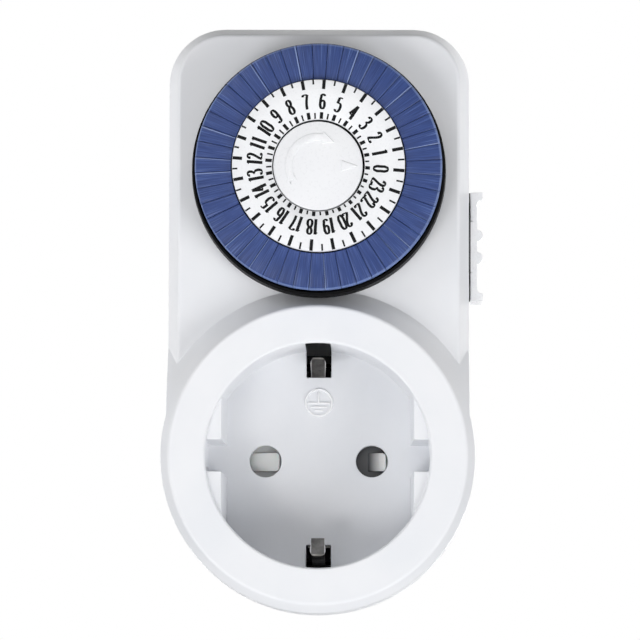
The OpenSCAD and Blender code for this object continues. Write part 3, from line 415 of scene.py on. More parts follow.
def tab_finish():
    """Acetal, self-coloured, from a tool ground towards the dial's axis: a silky deep blue, a little worn,
    with a painted highlight on its rim.
    """
    material, tree, shader, place = new_material("moulded blue acetal", "#2B3F74", 0.45,
                                                 Specular_IOR_Level=0.38)
    spoke = add(tree, "ShaderNodeVectorMath", [place, DIAL_CENTRE], operation="SUBTRACT")
    axes = add(tree, "ShaderNodeSeparateXYZ", [spoke]).outputs
    angle = add(tree, "ShaderNodeMath", [axes["Z"], axes["X"]], operation="ARCTAN2")
    flat = add(tree, "ShaderNodeVectorMath", [spoke, (1, 0, 1)], operation="MULTIPLY")
    r = add(tree, "ShaderNodeVectorMath", [flat], operation="LENGTH").outputs["Value"]
    fan = add(tree, "ShaderNodeCombineXYZ", {"X": angle, "Y": r})
    # Bands of grinding lines along the radius, 0.25 mm wide at the rim: a single line is too fine to show
    lines_at = add(tree, "ShaderNodeVectorMath", [fan, (TAB_OUT_R / 0.25, 1 / (6 * MM), 1)],
                   operation="MULTIPLY")
    lines = add(tree, "ShaderNodeTexNoise", {"Vector": lines_at, "Scale": 1.0, "Detail": 2.0})
    ground = add(tree, "ShaderNodeMapRange", [lines, 0.3, 0.7, 0, 1])
    blue = add(tree, "ShaderNodeMix", {0: ground, 6: "#213468", 7: "#334983"}, data_type="RGBA").outputs[2]
    # A few narrower bands, 0.12 mm wide, are ground through to a pale blue
    cuts_at = add(tree, "ShaderNodeVectorMath", [fan, (TAB_OUT_R / 0.12, 1 / (9 * MM), 1)],
                  operation="MULTIPLY")
    cuts = add(tree, "ShaderNodeTexNoise", {"Vector": cuts_at, "Scale": 1.0, "Detail": 1.0})
    cut = add(tree, "ShaderNodeMapRange", [cuts, 0.6, 0.72, 0, 0.6])
    blue = add(tree, "ShaderNodeMix", {0: cut, 6: blue, 7: "#7089C4"}, data_type="RGBA").outputs[2]
    # One edge of each tab is worn pale over about 0.15 mm, and each to its own degree
    to_first = 2 * len(HOURS) - DIAL_TURN / TAB_PITCH
    tab_at = add(tree, "ShaderNodeMath", [angle, 1 / (TAB_PITCH * DEGREE), to_first],
                 operation="MULTIPLY_ADD")
    across = add(tree, "ShaderNodeMath", [tab_at], operation="FRACT")
    edge = add(tree, "ShaderNodeMath", [across, 0.05, 0.035], operation="COMPARE")
    which = add(tree, "ShaderNodeMath", [tab_at], operation="FLOOR")
    chance = add(tree, "ShaderNodeTexWhiteNoise", {"W": which}, noise_dimensions="1D")
    degree = add(tree, "ShaderNodeMapRange", [chance, 0.35, 1, 0, 0.8])
    wear = add(tree, "ShaderNodeMath", [edge, degree], operation="MULTIPLY")
    blue = add(tree, "ShaderNodeMix", {0: wear, 6: blue, 7: "#9FB2DE"}, data_type="RGBA").outputs[2]
    # The rim is painted paler too: a painted highlight along its bevel
    rim = add(tree, "ShaderNodeMapRange", [r, (TAB_OUT_R - 0.34) * MM, (TAB_OUT_R - 0.2) * MM, 0, 0.4])
    blue = add(tree, "ShaderNodeMix", {0: rim, 6: blue, 7: "#8CA3D6"}, data_type="RGBA").outputs[2]
    # The gloss wanders over patches 5 mm wide
    cloud_at = add(tree, "ShaderNodeVectorMath", {0: place, "Scale": 1 / (5 * MM)}, operation="SCALE")
    cloud = add(tree, "ShaderNodeTexNoise", {"Vector": cloud_at, "Scale": 1.0, "Detail": 2.0})
    gloss = add(tree, "ShaderNodeMapRange", [cloud, 0.3, 0.7, 0.34, 0.46])
    relief = add(tree, "ShaderNodeBump", {"Height": lines, "Distance": 0.02 * MM})
    feed(tree, shader, {"Base Color": blue, "Roughness": gloss, "Normal": relief})
    return material


tab_pom = tab_finish()


def metal(name, colour, shade, roughness, size, stretch, depth):
    """A bare or plated metal with stains, and tool marks of a width and a depth, drawn out along an axis.

    The real marks are mostly too fine to show, so these are wider.
    """
    material, tree, shader, place = new_material(name, colour, roughness, metallic=1.0)
    marks_at = add(tree, "ShaderNodeVectorMath", [place, [1 / (size * MM * s) for s in stretch]],
                   operation="MULTIPLY")
    marks = add(tree, "ShaderNodeTexNoise", {"Vector": marks_at, "Scale": 1.0, "Detail": 3.0,
                                             "Roughness": 0.6})
    # The stains are 2.5 mm wide
    stain_at = add(tree, "ShaderNodeVectorMath", {0: place, "Scale": 1 / (2.5 * MM)}, operation="SCALE")
    stain = add(tree, "ShaderNodeTexNoise", {"Vector": stain_at, "Scale": 1.0, "Detail": 4.0,
                                             "Roughness": 0.6})
    share = add(tree, "ShaderNodeMapRange", [stain, 0.35, 0.7, 0, 1])
    tint = add(tree, "ShaderNodeMix", {0: share, 6: colour, 7: shade}, data_type="RGBA")
    gloss = add(tree, "ShaderNodeMapRange", [marks, 0.3, 0.7, roughness - 0.08, roughness + 0.08])
    relief = add(tree, "ShaderNodeBump", {"Height": marks, "Distance": depth * MM})
    feed(tree, shader, {"Base Color": tint.outputs[2], "Roughness": gloss, "Normal": relief})
    return material


# Brass, turned and nickel-plated: bright, with the fine rings of the lathe round each pin
pin_nickel = metal("nickel-plated brass", "#D5D1C8", "#C6C1B6", 0.2, 0.12, (40, 1, 40), 0.002)
# Spring steel strip, nickel-plated and bent: grey with darker stains, drawn along the strip, and with painted
# shade where it lies in the pockets behind the slots
clip_steel = metal("nickel-plated spring steel", "#8F8D8A", "#5E5C5A", 0.34, 0.25, (1, 3, 1), 0.008)
# Its edges carry a painted highlight from the first distance from its middle to the second
EDGE_HIGHLIGHT = (1.12, 1.24)
# The spring steel gets a painted highlight at its edges and the pockets' painted shade
hollow(worn_edges(clip_steel, *EDGE_HIGHLIGHT), SPRING_SHADE_H)
# Cartridge brass strip, stamped: yellow with a fine rolled grain
strip_brass = metal("stamped brass", "#C9A35A", "#B48C46", 0.3, 0.1, (1, 20, 20), 0.003)
# Hard-drawn spring wire, bare: blue-grey
spring_wire = metal("drawn spring wire", "#8E9196", "#74777B", 0.3, 0.05, (10, 1, 1), 0.002)
# Deep-drawn zinc-plated steel: a cold grey with soft spangle
can_steel = metal("zinc-plated sheet steel", "#B4B8BC", "#9CA1A7", 0.36, 0.6, (1, 1, 1), 0.002)
# Cold-headed zinc-plated screw steel: a paler grey, with a fine even grain
screw_zinc = metal("zinc-plated screw steel", "#BFC3C8", "#A2A7AE", 0.3, 0.15, (1, 1, 1), 0.004)


def winding_finish():
    """Enamelled copper wire, 0.2 mm thick, wound in rings about the motor's axis: a ribbed red-brown."""
    material, tree, shader, place = new_material("enamelled copper winding", "#B5652F", 0.28, metallic=0.9)
    axes = add(tree, "ShaderNodeSeparateXYZ", [place]).outputs
    turns = add(tree, "ShaderNodeMath", [axes["Y"], math.tau / (0.2 * MM)], operation="MULTIPLY")
    wires = add(tree, "ShaderNodeMath", [turns], operation="SINE")
    # Painted shade and highlight: the grooves between the wires are painted darker and their crests paler
    share = add(tree, "ShaderNodeMapRange", [wires, -1, 1, 0, 1])
    tint = add(tree, "ShaderNodeMix", {0: share, 6: "#7A3A18", 7: "#C97A40"}, data_type="RGBA")
    relief = add(tree, "ShaderNodeBump", {"Height": wires, "Distance": 0.05 * MM})
    feed(tree, shader, {"Base Color": tint.outputs[2], "Normal": relief})
    return material


winding = winding_finish()


def ink_finish():
    """Ink, pad-printed so thin that it takes up the 0.25 mm grain of the moulding: a dull uneven black."""
    material, tree, shader, place = new_material("pad-printed black ink", "#08080A", 0.55,
                                                 Specular_IOR_Level=0.15)
    spots_at = add(tree, "ShaderNodeVectorMath", {0: place, "Scale": 1 / (0.25 * MM)}, operation="SCALE")
    spots = add(tree, "ShaderNodeTexNoise", {"Vector": spots_at, "Scale": 1.0, "Detail": 2.0})
    share = add(tree, "ShaderNodeMapRange", [spots, 0.4, 0.75, 0, 1])
    tint = add(tree, "ShaderNodeMix", {0: share, 6: "#050506", 7: "#101013"}, data_type="RGBA")
    gloss = add(tree, "ShaderNodeMapRange", [spots, 0.3, 0.7, 0.44, 0.58])
    relief = add(tree, "ShaderNodeBump", {"Height": spots, "Distance": 0.003 * MM})
    feed(tree, shader, {"Base Color": tint.outputs[2], "Roughness": gloss, "Normal": relief})
    return material


black_ink = ink_finish()


def dress(piece, material, body, slot, *nodes):
    """Finishes a piece: its one material, the body that it rides on, and the nodes it stands for. The slot is
    not used.
    """
    piece.data.materials.clear()
    piece.data.materials.append(material)
    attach(piece, body)
    if nodes:
        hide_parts(*nodes)


# ---------------------------------------------------------------- copies about an axis

def copies_tree():
    """Geometry nodes for copies of one shape about an axis along Y, counter-clockwise as seen from the front,
    which are trimmed where they leave a ring about the scale's axis."""
    tree = bpy.data.node_groups.new("copies about an axis", "GeometryNodeTree")
    sockets = {}
    for name, kind in (("Shape", "Object"), ("Count", "Int"), ("Pitch", "Float"), ("First angle", "Float"),
                       ("Centre", "Vector"), ("Ring inside", "Float"), ("Ring outside", "Float"),
                       ("Finish", "Material")):
        socket = tree.interface.new_socket(name, in_out="INPUT", socket_type="NodeSocket" + kind)
        sockets[name] = socket.identifier
    tree.interface.new_socket("Copies", in_out="OUTPUT", socket_type="NodeSocketGeometry")
    given = add(tree, "NodeGroupInput").outputs
    shape = add(tree, "GeometryNodeObjectInfo", {"Object": given["Shape"]}).outputs["Geometry"]
    places = add(tree, "GeometryNodePoints", {"Count": given["Count"], "Position": given["Centre"]})
    number = add(tree, "GeometryNodeInputIndex")
    angle = add(tree, "ShaderNodeMath", [number, given["Pitch"], given["First angle"]],
                operation="MULTIPLY_ADD")
    turn = add(tree, "ShaderNodeMath", [angle, -DEGREE], operation="MULTIPLY")
    about_y = add(tree, "ShaderNodeCombineXYZ", {"Y": turn})
    placed = add(tree, "GeometryNodeInstanceOnPoints", {"Points": places, "Instance": shape,
                                                        "Rotation": about_y})
    real = add(tree, "GeometryNodeRealizeInstances", [placed])
    place = add(tree, "GeometryNodeInputPosition")
    spoke = add(tree, "ShaderNodeVectorMath", [place, SCALE_CENTRE], operation="SUBTRACT")
    flat = add(tree, "ShaderNodeVectorMath", [spoke, (1, 0, 1)], operation="MULTIPLY")
    r = add(tree, "ShaderNodeVectorMath", [flat], operation="LENGTH").outputs["Value"]
    kept_r = add(tree, "ShaderNodeClamp", [r, given["Ring inside"], given["Ring outside"]])
    short = add(tree, "ShaderNodeMath", [kept_r, r], operation="SUBTRACT")
    outwards = add(tree, "ShaderNodeVectorMath", [flat], operation="NORMALIZE")
    pull = add(tree, "ShaderNodeVectorMath", {0: outwards, "Scale": short}, operation="SCALE")
    trimmed = add(tree, "GeometryNodeSetPosition", {"Geometry": real, "Offset": pull})
    finish = add(tree, "GeometryNodeSetMaterial", {"Geometry": trimmed, "Material": given["Finish"]})
    add(tree, "NodeGroupOutput", [finish])
    return tree, sockets


COPIES, COPIES_INPUTS = copies_tree()
NO_TRIM = (0, 1000)


def copies(name, shape, count, pitch, first, finish, centre, ring=NO_TRIM):
    """Copies of a shape mesh about an axis, trimmed to a ring of two radii, and made into a plain mesh."""
    sample = new_object("shape", shape)
    piece = new_object(name, bpy.data.meshes.new(name))
    modifier = piece.modifiers.new("copies", "NODES")
    modifier.node_group = COPIES
    given = {"Shape": sample, "Count": count, "Pitch": float(pitch), "First angle": float(first),
             "Centre": centre, "Ring inside": ring[0] * MM, "Ring outside": ring[1] * MM, "Finish": finish}
    for key, value in given.items():
        modifier[COPIES_INPUTS[key]] = value
    baked(piece)
    bpy.data.objects.remove(sample)
    return piece


# ---------------------------------------------------------------- the housing, the slider and the shutter

for shell in ("front", "rear"):
    dress(rounded_copy(shell + "_moulding", shell + "_shell", 0.15), housing_abs, "housing", "housing_white",
          shell + "_shell")

# The slider's plate starts at the neck, and its back lies a little further out
NECK_X, PLATE_BACK_X = 26.8, 27.05
RIB_FROM_X, RIB_SPAN_Z, RIB_DROP = 28.15, (33, 44), 0.52
LIP_X, LIP_Z, LIP_H = (NECK_X, 27.3), (28.9, 48.4), (26.9, 27.7)


def slider_place(point):
    """The slider's plate stands off the housing, and its two ribs sit low on it."""
    x, y, z = point / MM
    if x > NECK_X:
        if x > RIB_FROM_X and RIB_SPAN_Z[0] < z < RIB_SPAN_Z[1]:
            z -= RIB_DROP
        x = max(x, PLATE_BACK_X)
    return Vector((x, y, z)) * MM


dress(rounded_copy("slider_moulding", "override_slider", 0.12, slider_place), slider_abs, "slider",
      "slider_white", "override_slider")
# The lip closes the slit between the plate and the housing, so that the slit shows as shade; the strip of it
# that shows carries the slit's painted shade
dress(new_object("slider_lip", joined("slider_lip", [block(*LIP_X, *LIP_Z, *LIP_H)])), slider_abs, "slider",
      "slider_white")
dress(rounded_copy("shutter_moulding", "safety_shutter", 0.1), shutter_pa, "shutter", "shutter_plastic",
      "safety_shutter")

# In the switch, the shutter's spring shortens against the wall as the shutter slides, from 9.8 mm to a little
# over the thickness of its six turns; here it is a smooth copy of the coil with a mesh of its own, and does
# not shorten
spring = merged_copy("shutter_spring_coil", "shutter_spring")
smooth(spring.data, 60)
dress(spring, spring_wire, "housing", "spring_steel", "shutter_spring")
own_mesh(spring)

for end in ("top", "bottom"):
    dress(rounded_copy("earth_spring_" + end, "earth_strap_" + end, 0.06), clip_steel, "housing",
          "clip_steel", "earth_strap_" + end)

# The rear moulding closes round each earth spring where it passes the back wall
WEB_Z, WEB_HALF_X, WEB_HALF_Z, WEB_H = 18.3, 2.5, 1.4, (17.3, 19.5)
WEBS = [block(-WEB_HALF_X, WEB_HALF_X, z - WEB_HALF_Z, z + WEB_HALF_Z, *WEB_H) for z in (-WEB_Z, WEB_Z)]
dress(new_object("earth_spring_webs", joined("earth_spring_webs", WEBS)), housing_abs, "housing",
      "housing_white")

RECESS_FLOOR_H = 29.5
EARTH_MARK_R = 2.36
EARTH_MARK_X, EARTH_MARK_Z = 0, 10.5
EARTH_MARK_RISE = 0.32
EARTH_LINE_W = 0.27
# The sign's three bars, from the long one down: how far each lies from the middle, and half its length
EARTH_BARS = ((-0.05, 1.95), (-0.78, 1.45), (-1.42, 0.75))
EARTH_STEM_TOP, EARTH_STEM_FOOT = 1.85, 0.05


def raised_bar(x0, z0, x1, z1, low, high):
    """A straight raised line between two points."""
    ends = [Vector((x0, z0)), Vector((x1, z1))]
    run = ends[1] - ends[0]
    across = Vector((-run.y, run.x)).normalized() * EARTH_LINE_W / 2
    outline = [ends[0] + across, ends[1] + across, ends[1] - across, ends[0] - across]
    return plate(outline, low, high, 0.08)


def earth_mark():
    """The raised earth sign on the floor of the recess: a ring, a stem and three bars."""
    x, z = EARTH_MARK_X, EARTH_MARK_Z
    low, high = RECESS_FLOOR_H - 0.1, RECESS_FLOOR_H + EARTH_MARK_RISE
    side = high - 0.08
    profile = [(0.2, low), (0.17, side), (0.08, high), (-0.08, high), (-0.17, side), (-0.2, low)]
    ring = turned("ring", [(EARTH_MARK_R + out, h) for out, h in profile], front(x, z, 0), steps=72)
    forms = [form_of(ring), raised_bar(x, z + EARTH_STEM_TOP, x, z + EARTH_STEM_FOOT, low, high)]
    forms += [raised_bar(x - half, z + drop, x + half, z + drop, low, high) for drop, half in EARTH_BARS]
    return new_object("earth_sign", joined("earth_sign", forms))


dress(earth_mark(), sign_abs_lit, "housing", "housing_white")

# ---------------------------------------------------------------- the dial

SKIRT_FROM_R = 22.1
SKIRT_FLARE = 0.12
SKIRT_RUNOUT = Vector((0.09, 0, -0.14))


def carrier_place(point):
    """The carrier's skirt flares out a little, and runs a little out of true."""
    spoke = point - DIAL_CENTRE
    spoke.y = 0
    skirt = spoke.length > SKIRT_FROM_R * MM
    return point + (spoke.normalized() * SKIRT_FLARE + SKIRT_RUNOUT) * MM if skirt else point


dress(rounded_copy("dial_carrier_moulding", "dial_carrier", 0.1, carrier_place), carrier_abs, "dial",
      "dial_black", "dial_carrier")

SCALE_IN_R, SCALE_OUT_R = 8.14, 15.18
SCALE_FACE_H = SCALE_TOP_H - INK_T

dress(turned("scale_plate", [
    (SCALE_IN_R, SCALE_BACK_H), (SCALE_OUT_R, SCALE_BACK_H), (SCALE_OUT_R, SCALE_FACE_H - 0.18),
    (SCALE_OUT_R - 0.05, SCALE_FACE_H - 0.06), (SCALE_OUT_R - 0.18, SCALE_FACE_H),
    (SCALE_IN_R + 0.12, SCALE_FACE_H), (SCALE_IN_R, SCALE_FACE_H - 0.1)], SCALE_CENTRE),
    polished_abs, "dial", "scale_white", "scale_disc")

TAB_HEAD_T = 3.2
LEG_L, LEG_W = 4.55, 0.85


def tab_shape():
    """One tab about the dial's axis, its middle to the right: a head with a bevelled rim, and its leg."""
    form = bmesh.new()
    half = (TAB_PITCH - TAB_GAP) / 2
    # The head's face falls away at both sides, over an angle and by a height
    edge, fall = 0.25, 0.07
    back = TAB_TOP_H - TAB_HEAD_T
    sections = []
    for angle in (-half, edge - half, -half / 2, 0, half / 2, half - edge, half):
        top = TAB_TOP_H - (fall if abs(angle) == half else 0)
        profile = [(TAB_IN_R, back), (TAB_OUT_R, back), (TAB_OUT_R, top - 0.42),
                   (TAB_OUT_R - 0.12, top - 0.22), (TAB_OUT_R - 0.42, top), (TAB_IN_R + 0.06, top),
                   (TAB_IN_R, top - 0.06)]
        sections.append([form.verts.new(front(*polar(r, angle), h)) for r, h in profile])
    for here, after in zip(sections, sections[1:]):
        for k in range(len(here)):
            form.faces.new((here[k - 1], here[k], after[k], after[k - 1]))
    form.faces.new(sections[0])
    form.faces.new(list(reversed(sections[-1])))
    bmesh.ops.recalc_face_normals(form, faces=form.faces)
    leg_r = (TAB_IN_R + TAB_OUT_R) / 2
    leg = block(leg_r - LEG_L / 2, leg_r + LEG_L / 2, -LEG_W / 2, LEG_W / 2, TAB_LEG_H, back + 0.05)
    return joined("tab", [form, leg])


for hour in HOURS:
    name = "%02d" % hour
    first = DIAL_TURN + HOUR_PITCH * hour + TAB_PITCH / 2
    dress(copies("tab_pair_" + name, tab_shape(), 2, TAB_PITCH, first, tab_pom, SCALE_CENTRE),
          tab_pom, "tabs_" + name, "tab_blue", "tabs_hour_" + name)


# The pad that printed the scale stood a little high
PRINT_CENTRE = DIAL_CENTRE + front(-0.05, 0.28, 0)
PRINT_RING = (SCALE_IN_R + 0.08, SCALE_OUT_R - 0.06)
# Each row of printed marks: from and to a radius, its width, and how far it is turned from the hours
TICKS = {"hour_ticks": (13.3, 15.3, 0.58, 0), "half_hour_ticks": (14.1, 15.3, 0.3, TAB_PITCH),
         "inner_hour_ticks": (7.8, 9.2, 0.57, 0), "inner_half_hour_ticks": (7.8, 9.05, 0.27, TAB_PITCH)}

for name, (inner, outer, width, offset) in TICKS.items():
    tick = mesh_of(block(inner, outer, -width / 2, width / 2, SCALE_FACE_H - INK_T, SCALE_TOP_H), "tick")
    dress(copies(name, tick, len(HOURS), HOUR_PITCH, DIAL_TURN + offset, black_ink, PRINT_CENTRE, PRINT_RING),
          black_ink, "dial", "dial_black")

# The strokes of each figure, in a box one high: a stroke is (closed, points)
FIGURES = {
    "0": [(True, [(.21, .97), (.34, .86), (.38, .5), (.34, .14), (.21, .03), (.08, .14), (.04, .5),
                  (.08, .86)])],
    "1": [(False, [(.24, .03), (.24, .97)]), (False, [(.24, .96), (.18, .87), (.1, .83)]),
          (False, [(.13, .03), (.35, .03)])],
    "2": [(False, [(.08, .75), (.11, .9), (.22, .97), (.34, .89), (.36, .72), (.27, .48), (.14, .25),
                   (.06, .05)]),
          (False, [(.06, .05), (.22, .06), (.38, .05), (.39, .18)])],
    "3": [(False, [(.07, .82), (.13, .94), (.23, .97), (.34, .89), (.35, .74), (.28, .6), (.17, .54)]),
          (False, [(.17, .54), (.31, .49), (.38, .34), (.36, .16), (.24, .03), (.11, .05), (.06, .18)])],
    "4": [(False, [(.29, .03), (.29, .97)]), (False, [(.29, .97), (.16, .63), (.03, .3)]),
          (False, [(.03, .3), (.42, .3)]), (False, [(.18, .03), (.39, .03)])],
    "5": [(False, [(.37, .95), (.13, .95)]), (False, [(.13, .95), (.1, .56)]),
          (False, [(.1, .56), (.22, .61), (.33, .55), (.38, .38), (.35, .16), (.23, .03), (.11, .05),
                   (.06, .16)])],
    "6": [(False, [(.35, .84), (.28, .95), (.19, .95), (.1, .78), (.06, .45), (.09, .16), (.22, .03),
                   (.34, .13), (.37, .31), (.33, .5), (.22, .57), (.1, .46)])],
    "7": [(False, [(.06, .84), (.07, .95), (.39, .95)]),
          (False, [(.39, .95), (.29, .65), (.22, .35), (.2, .03)])],
    "8": [(True, [(.21, .54), (.1, .64), (.07, .79), (.12, .92), (.21, .97), (.31, .92), (.36, .79),
                  (.33, .64)]),
          (True, [(.21, .54), (.09, .42), (.05, .26), (.09, .1), (.21, .03), (.34, .1), (.38, .26),
                  (.34, .42)])],
}
FIGURE_BOX_W = 0.43
FIGURES["9"] = [(False, [(FIGURE_BOX_W - x, 1 - y) for x, y in FIGURES["6"][0][1]])]
# A unit of the box in millimetres, up and across, the step from figure to figure, and their ring's radius
FIGURE_H, FIGURE_W, FIGURE_STEP, FIGURE_R = 2.78, 2.36, 1.07, 11.12
# Half the width and half the height of the pen's flat nib: upright strokes are bold and level ones are fine
NIB_HALF_W, NIB_HALF_H = 0.27, 0.14


def figure_lines(label):
    """The inked strokes of a label as one mesh, centred on the origin and standing up along Z."""
    curve = bpy.data.curves.new("strokes", "CURVE")
    curve.dimensions = "3D"
    curve.bevel_depth = NIB_HALF_W * MM
    curve.bevel_resolution = 1
    curve.use_fill_caps = True
    curve.resolution_u = 4
    taller = NIB_HALF_W / NIB_HALF_H
    start = (FIGURE_STEP * (1 - len(label)) - FIGURE_BOX_W * FIGURE_W) / 2
    for place, figure in enumerate(label):
        for closed, points in FIGURES[figure]:
            stroke = curve.splines.new("BEZIER")
            stroke.bezier_points.add(len(points) - 1)
            stroke.use_cyclic_u = closed
            handles = "VECTOR" if len(points) == 2 else "AUTO"
            for knot, (x, z) in zip(stroke.bezier_points, points):
                knot.handle_left_type = knot.handle_right_type = handles
                knot.co = (start + place * FIGURE_STEP + x * FIGURE_W, 0, (z - 0.5) * FIGURE_H * taller)
                knot.co *= MM
    pen = new_object("pen", curve)
    mesh = evaluated(pen)
    bpy.data.objects.remove(pen)
    mesh.transform(Matrix.Diagonal((1, INK_T / NIB_HALF_W, 1 / taller, 1)))
    return mesh


def numerals():
    """The 24 hours round the scale, with their tops outwards."""
    form = bmesh.new()
    for hour in HOURS:
        mesh = figure_lines(str(hour))
        angle = DIAL_TURN + HOUR_PITCH * hour
        place = front(*polar(FIGURE_R, angle), SCALE_FACE_H) + PRINT_CENTRE
        mesh.transform(Matrix.Translation(place) @ Matrix.Rotation((90 - angle) * DEGREE, 4, "Y"))
        form.from_mesh(mesh)
        bpy.data.meshes.remove(mesh)
    return new_object("hour_figures", mesh_of(form, "hour_figures", sharp=80))


dress(numerals(), black_ink, "dial", "dial_black")

# The cap: its face lies back a little, and the arrow and the pointer rise from it to the height of the scale
RELIEF = 0.18
CAP_R = 7.86
CAP_BACK_H = SCALE_TOP_H - 1.4
CAP_FACE_H = SCALE_TOP_H - RELIEF
STEM_R = 1.78
STEM_BACK_H = node_heights("centre_cap")[0]
# The arrow's band runs round from its tail to its head, whose barbs and tip lie at (radius, angle)
ARROW_IN_R, ARROW_OUT_R = 4.5, 5.75
ARROW_TAIL, ARROW_NECK = 216, 81
ARROW_HEAD = ((6.2, ARROW_NECK), (5.05, 55), (4.05, ARROW_NECK))
POINTER = [(4.1, -1.0), (4.1, 1.0), (7.0, 0)]


def cap():
    """The fixed cap on its stem, with a raised arrow for the turn of the dial and a raised pointer."""
    body = turned("cap", [(0, STEM_BACK_H), (STEM_R, STEM_BACK_H), (STEM_R, CAP_BACK_H), (CAP_R, CAP_BACK_H),
                          (CAP_R, CAP_FACE_H - 0.28), (CAP_R - 0.08, CAP_FACE_H - 0.08),
                          (CAP_R - 0.28, CAP_FACE_H), (0, CAP_FACE_H)], DIAL_CENTRE)
    steps = 40
    arc = [ARROW_TAIL + (ARROW_NECK - ARROW_TAIL) * i / steps for i in range(steps + 1)]
    arrow = [polar(ARROW_OUT_R, a) for a in arc] + [polar(*corner) for corner in ARROW_HEAD]
    arrow += [polar(ARROW_IN_R, a) for a in reversed(arc)]
    # The tail is round
    middle = Vector(polar((ARROW_IN_R + ARROW_OUT_R) / 2, ARROW_TAIL))
    arrow += [middle + Vector(polar((ARROW_OUT_R - ARROW_IN_R) / 2, ARROW_TAIL + 180 + a))
              for a in (30, 60, 90, 120, 150)]
    low = CAP_FACE_H - 0.3
    marks = joined("marks", [plate(arrow, low, SCALE_TOP_H, 0.1), plate(POINTER, low, SCALE_TOP_H, 0.1)])
    marks.transform(Matrix.Translation(DIAL_CENTRE))
    whole = form_of(body)
    whole.from_mesh(marks)
    return new_object("cap_moulding", mesh_of(whole, "cap_moulding"))


dress(cap(), polished_abs, "housing", "scale_white", "centre_cap")

# ---------------------------------------------------------------- the pins and the screws

for side in ("left", "right"):
    dress(rounded_copy("pin_" + side, "plug_pin_" + side, 0.12), pin_nickel, "housing", "nickel",
          "plug_pin_" + side)

SCREW_BACK_H, SCREW_TIP_H = node_heights("case_screws")
SCREW_SEAT_H = SCREW_BACK_H + 1.6
SCREW_R, SCREW_HEAD_R, THREAD_PITCH, THREAD_DEPTH = 1.25, 2.2, 0.9, 0.22
# The cross recess: each arm's reach, half its width, and its depth
CROSS_ARM, CROSS_HALF, CROSS_DEPTH = 1.3, 0.3, 1.1
# The screws' places, as in the part's source: two beside the dial's top, and two round the socket
UPPER_SCREWS_R, UPPER_SCREWS_Z = 19.75, 70
LOWER_SCREWS_R, LOWER_SCREWS_FROM, LOWER_SCREWS_PITCH = 23.5, -135, 90


def screw_shape(r):
    """A screw at a distance to the right of an axis: a pan head with a cross recess, and a threaded shank."""
    back, seat, rim, root = SCREW_BACK_H, SCREW_SEAT_H, SCREW_HEAD_R, SCREW_R - THREAD_DEPTH
    profile = [(0, back), (rim - 0.9, back), (rim - 0.35, back + 0.2), (rim - 0.06, back + 0.6),
               (rim, back + 1.0), (rim, seat), (SCREW_R, seat), (SCREW_R, seat + 0.8)]
    crest = seat + 1.0
    while crest + THREAD_PITCH < SCREW_TIP_H - 1.0:
        profile += [(root, crest), (root, crest + 0.5 * THREAD_PITCH), (SCREW_R, crest + 0.75 * THREAD_PITCH)]
        crest += THREAD_PITCH
    profile += [(SCREW_R - 0.5, SCREW_TIP_H - 0.5), (0, SCREW_TIP_H)]
    blank = turned("screw", profile, front(r, 0, 0), steps=32)
    arm, half = CROSS_ARM, CROSS_HALF
    cross = [(half, half), (arm, half), (arm, -half), (half, -half), (half, -arm), (-half, -arm),
             (-half, -half), (-arm, -half), (-arm, half), (-half, half), (-half, arm), (half, arm)]
    bit = plate([(r + x, z) for x, z in cross], back - 0.3, back + CROSS_DEPTH)
    cutter = new_object("bit", mesh_of(bit, "bit"))
    cut = blank.modifiers.new("cross recess", "BOOLEAN")
    cut.operation = "DIFFERENCE"
    cut.object = cutter
    mesh = baked(blank).data
    smooth(mesh, 35)
    bpy.data.objects.remove(cutter)
    bpy.data.objects.remove(blank)
    return mesh


dress(copies("case_screws_upper", screw_shape(UPPER_SCREWS_R), 2, 180, 0, screw_zinc,
             front(0, UPPER_SCREWS_Z, 0)), screw_zinc, "housing", "screw_steel", "case_screws")
dress(copies("case_screws_lower", screw_shape(LOWER_SCREWS_R), 2, LOWER_SCREWS_PITCH, LOWER_SCREWS_FROM,
             screw_zinc, Vector()), screw_zinc, "housing", "screw_steel")

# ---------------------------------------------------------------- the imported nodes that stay

KEPT_FINISH = {
    "dial_gear": carrier_abs, "movement_frame": frame_pbt,
    "neutral_contact": strip_brass, "live_strip": strip_brass, "load_strip": strip_brass,
    "contact_bridge": strip_brass, "earth_bridge": clip_steel,
    "gear_axles": spring_wire, "lever_pin": spring_wire, "dial_washer": spring_wire,
    "motor_shaft": spring_wire, "motor_can": can_steel, "motor_lid": can_steel, "motor_coil": winding,
    "motor_pinion": gear_pom, "idler_gear_small": gear_pom, "idler_gear_large": gear_pom,
    "switch_lever": gear_pom}
for node, finish in KEPT_FINISH.items():
    for index in range(len(NODES[node].data.materials)):
        NODES[node].data.materials[index] = finish

# ---------------------------------------------------------------- floor, light and camera

FLOOR_Z = -0.12
FLOOR_HALF = 3.0
FLOOR_GLOW = 0.45


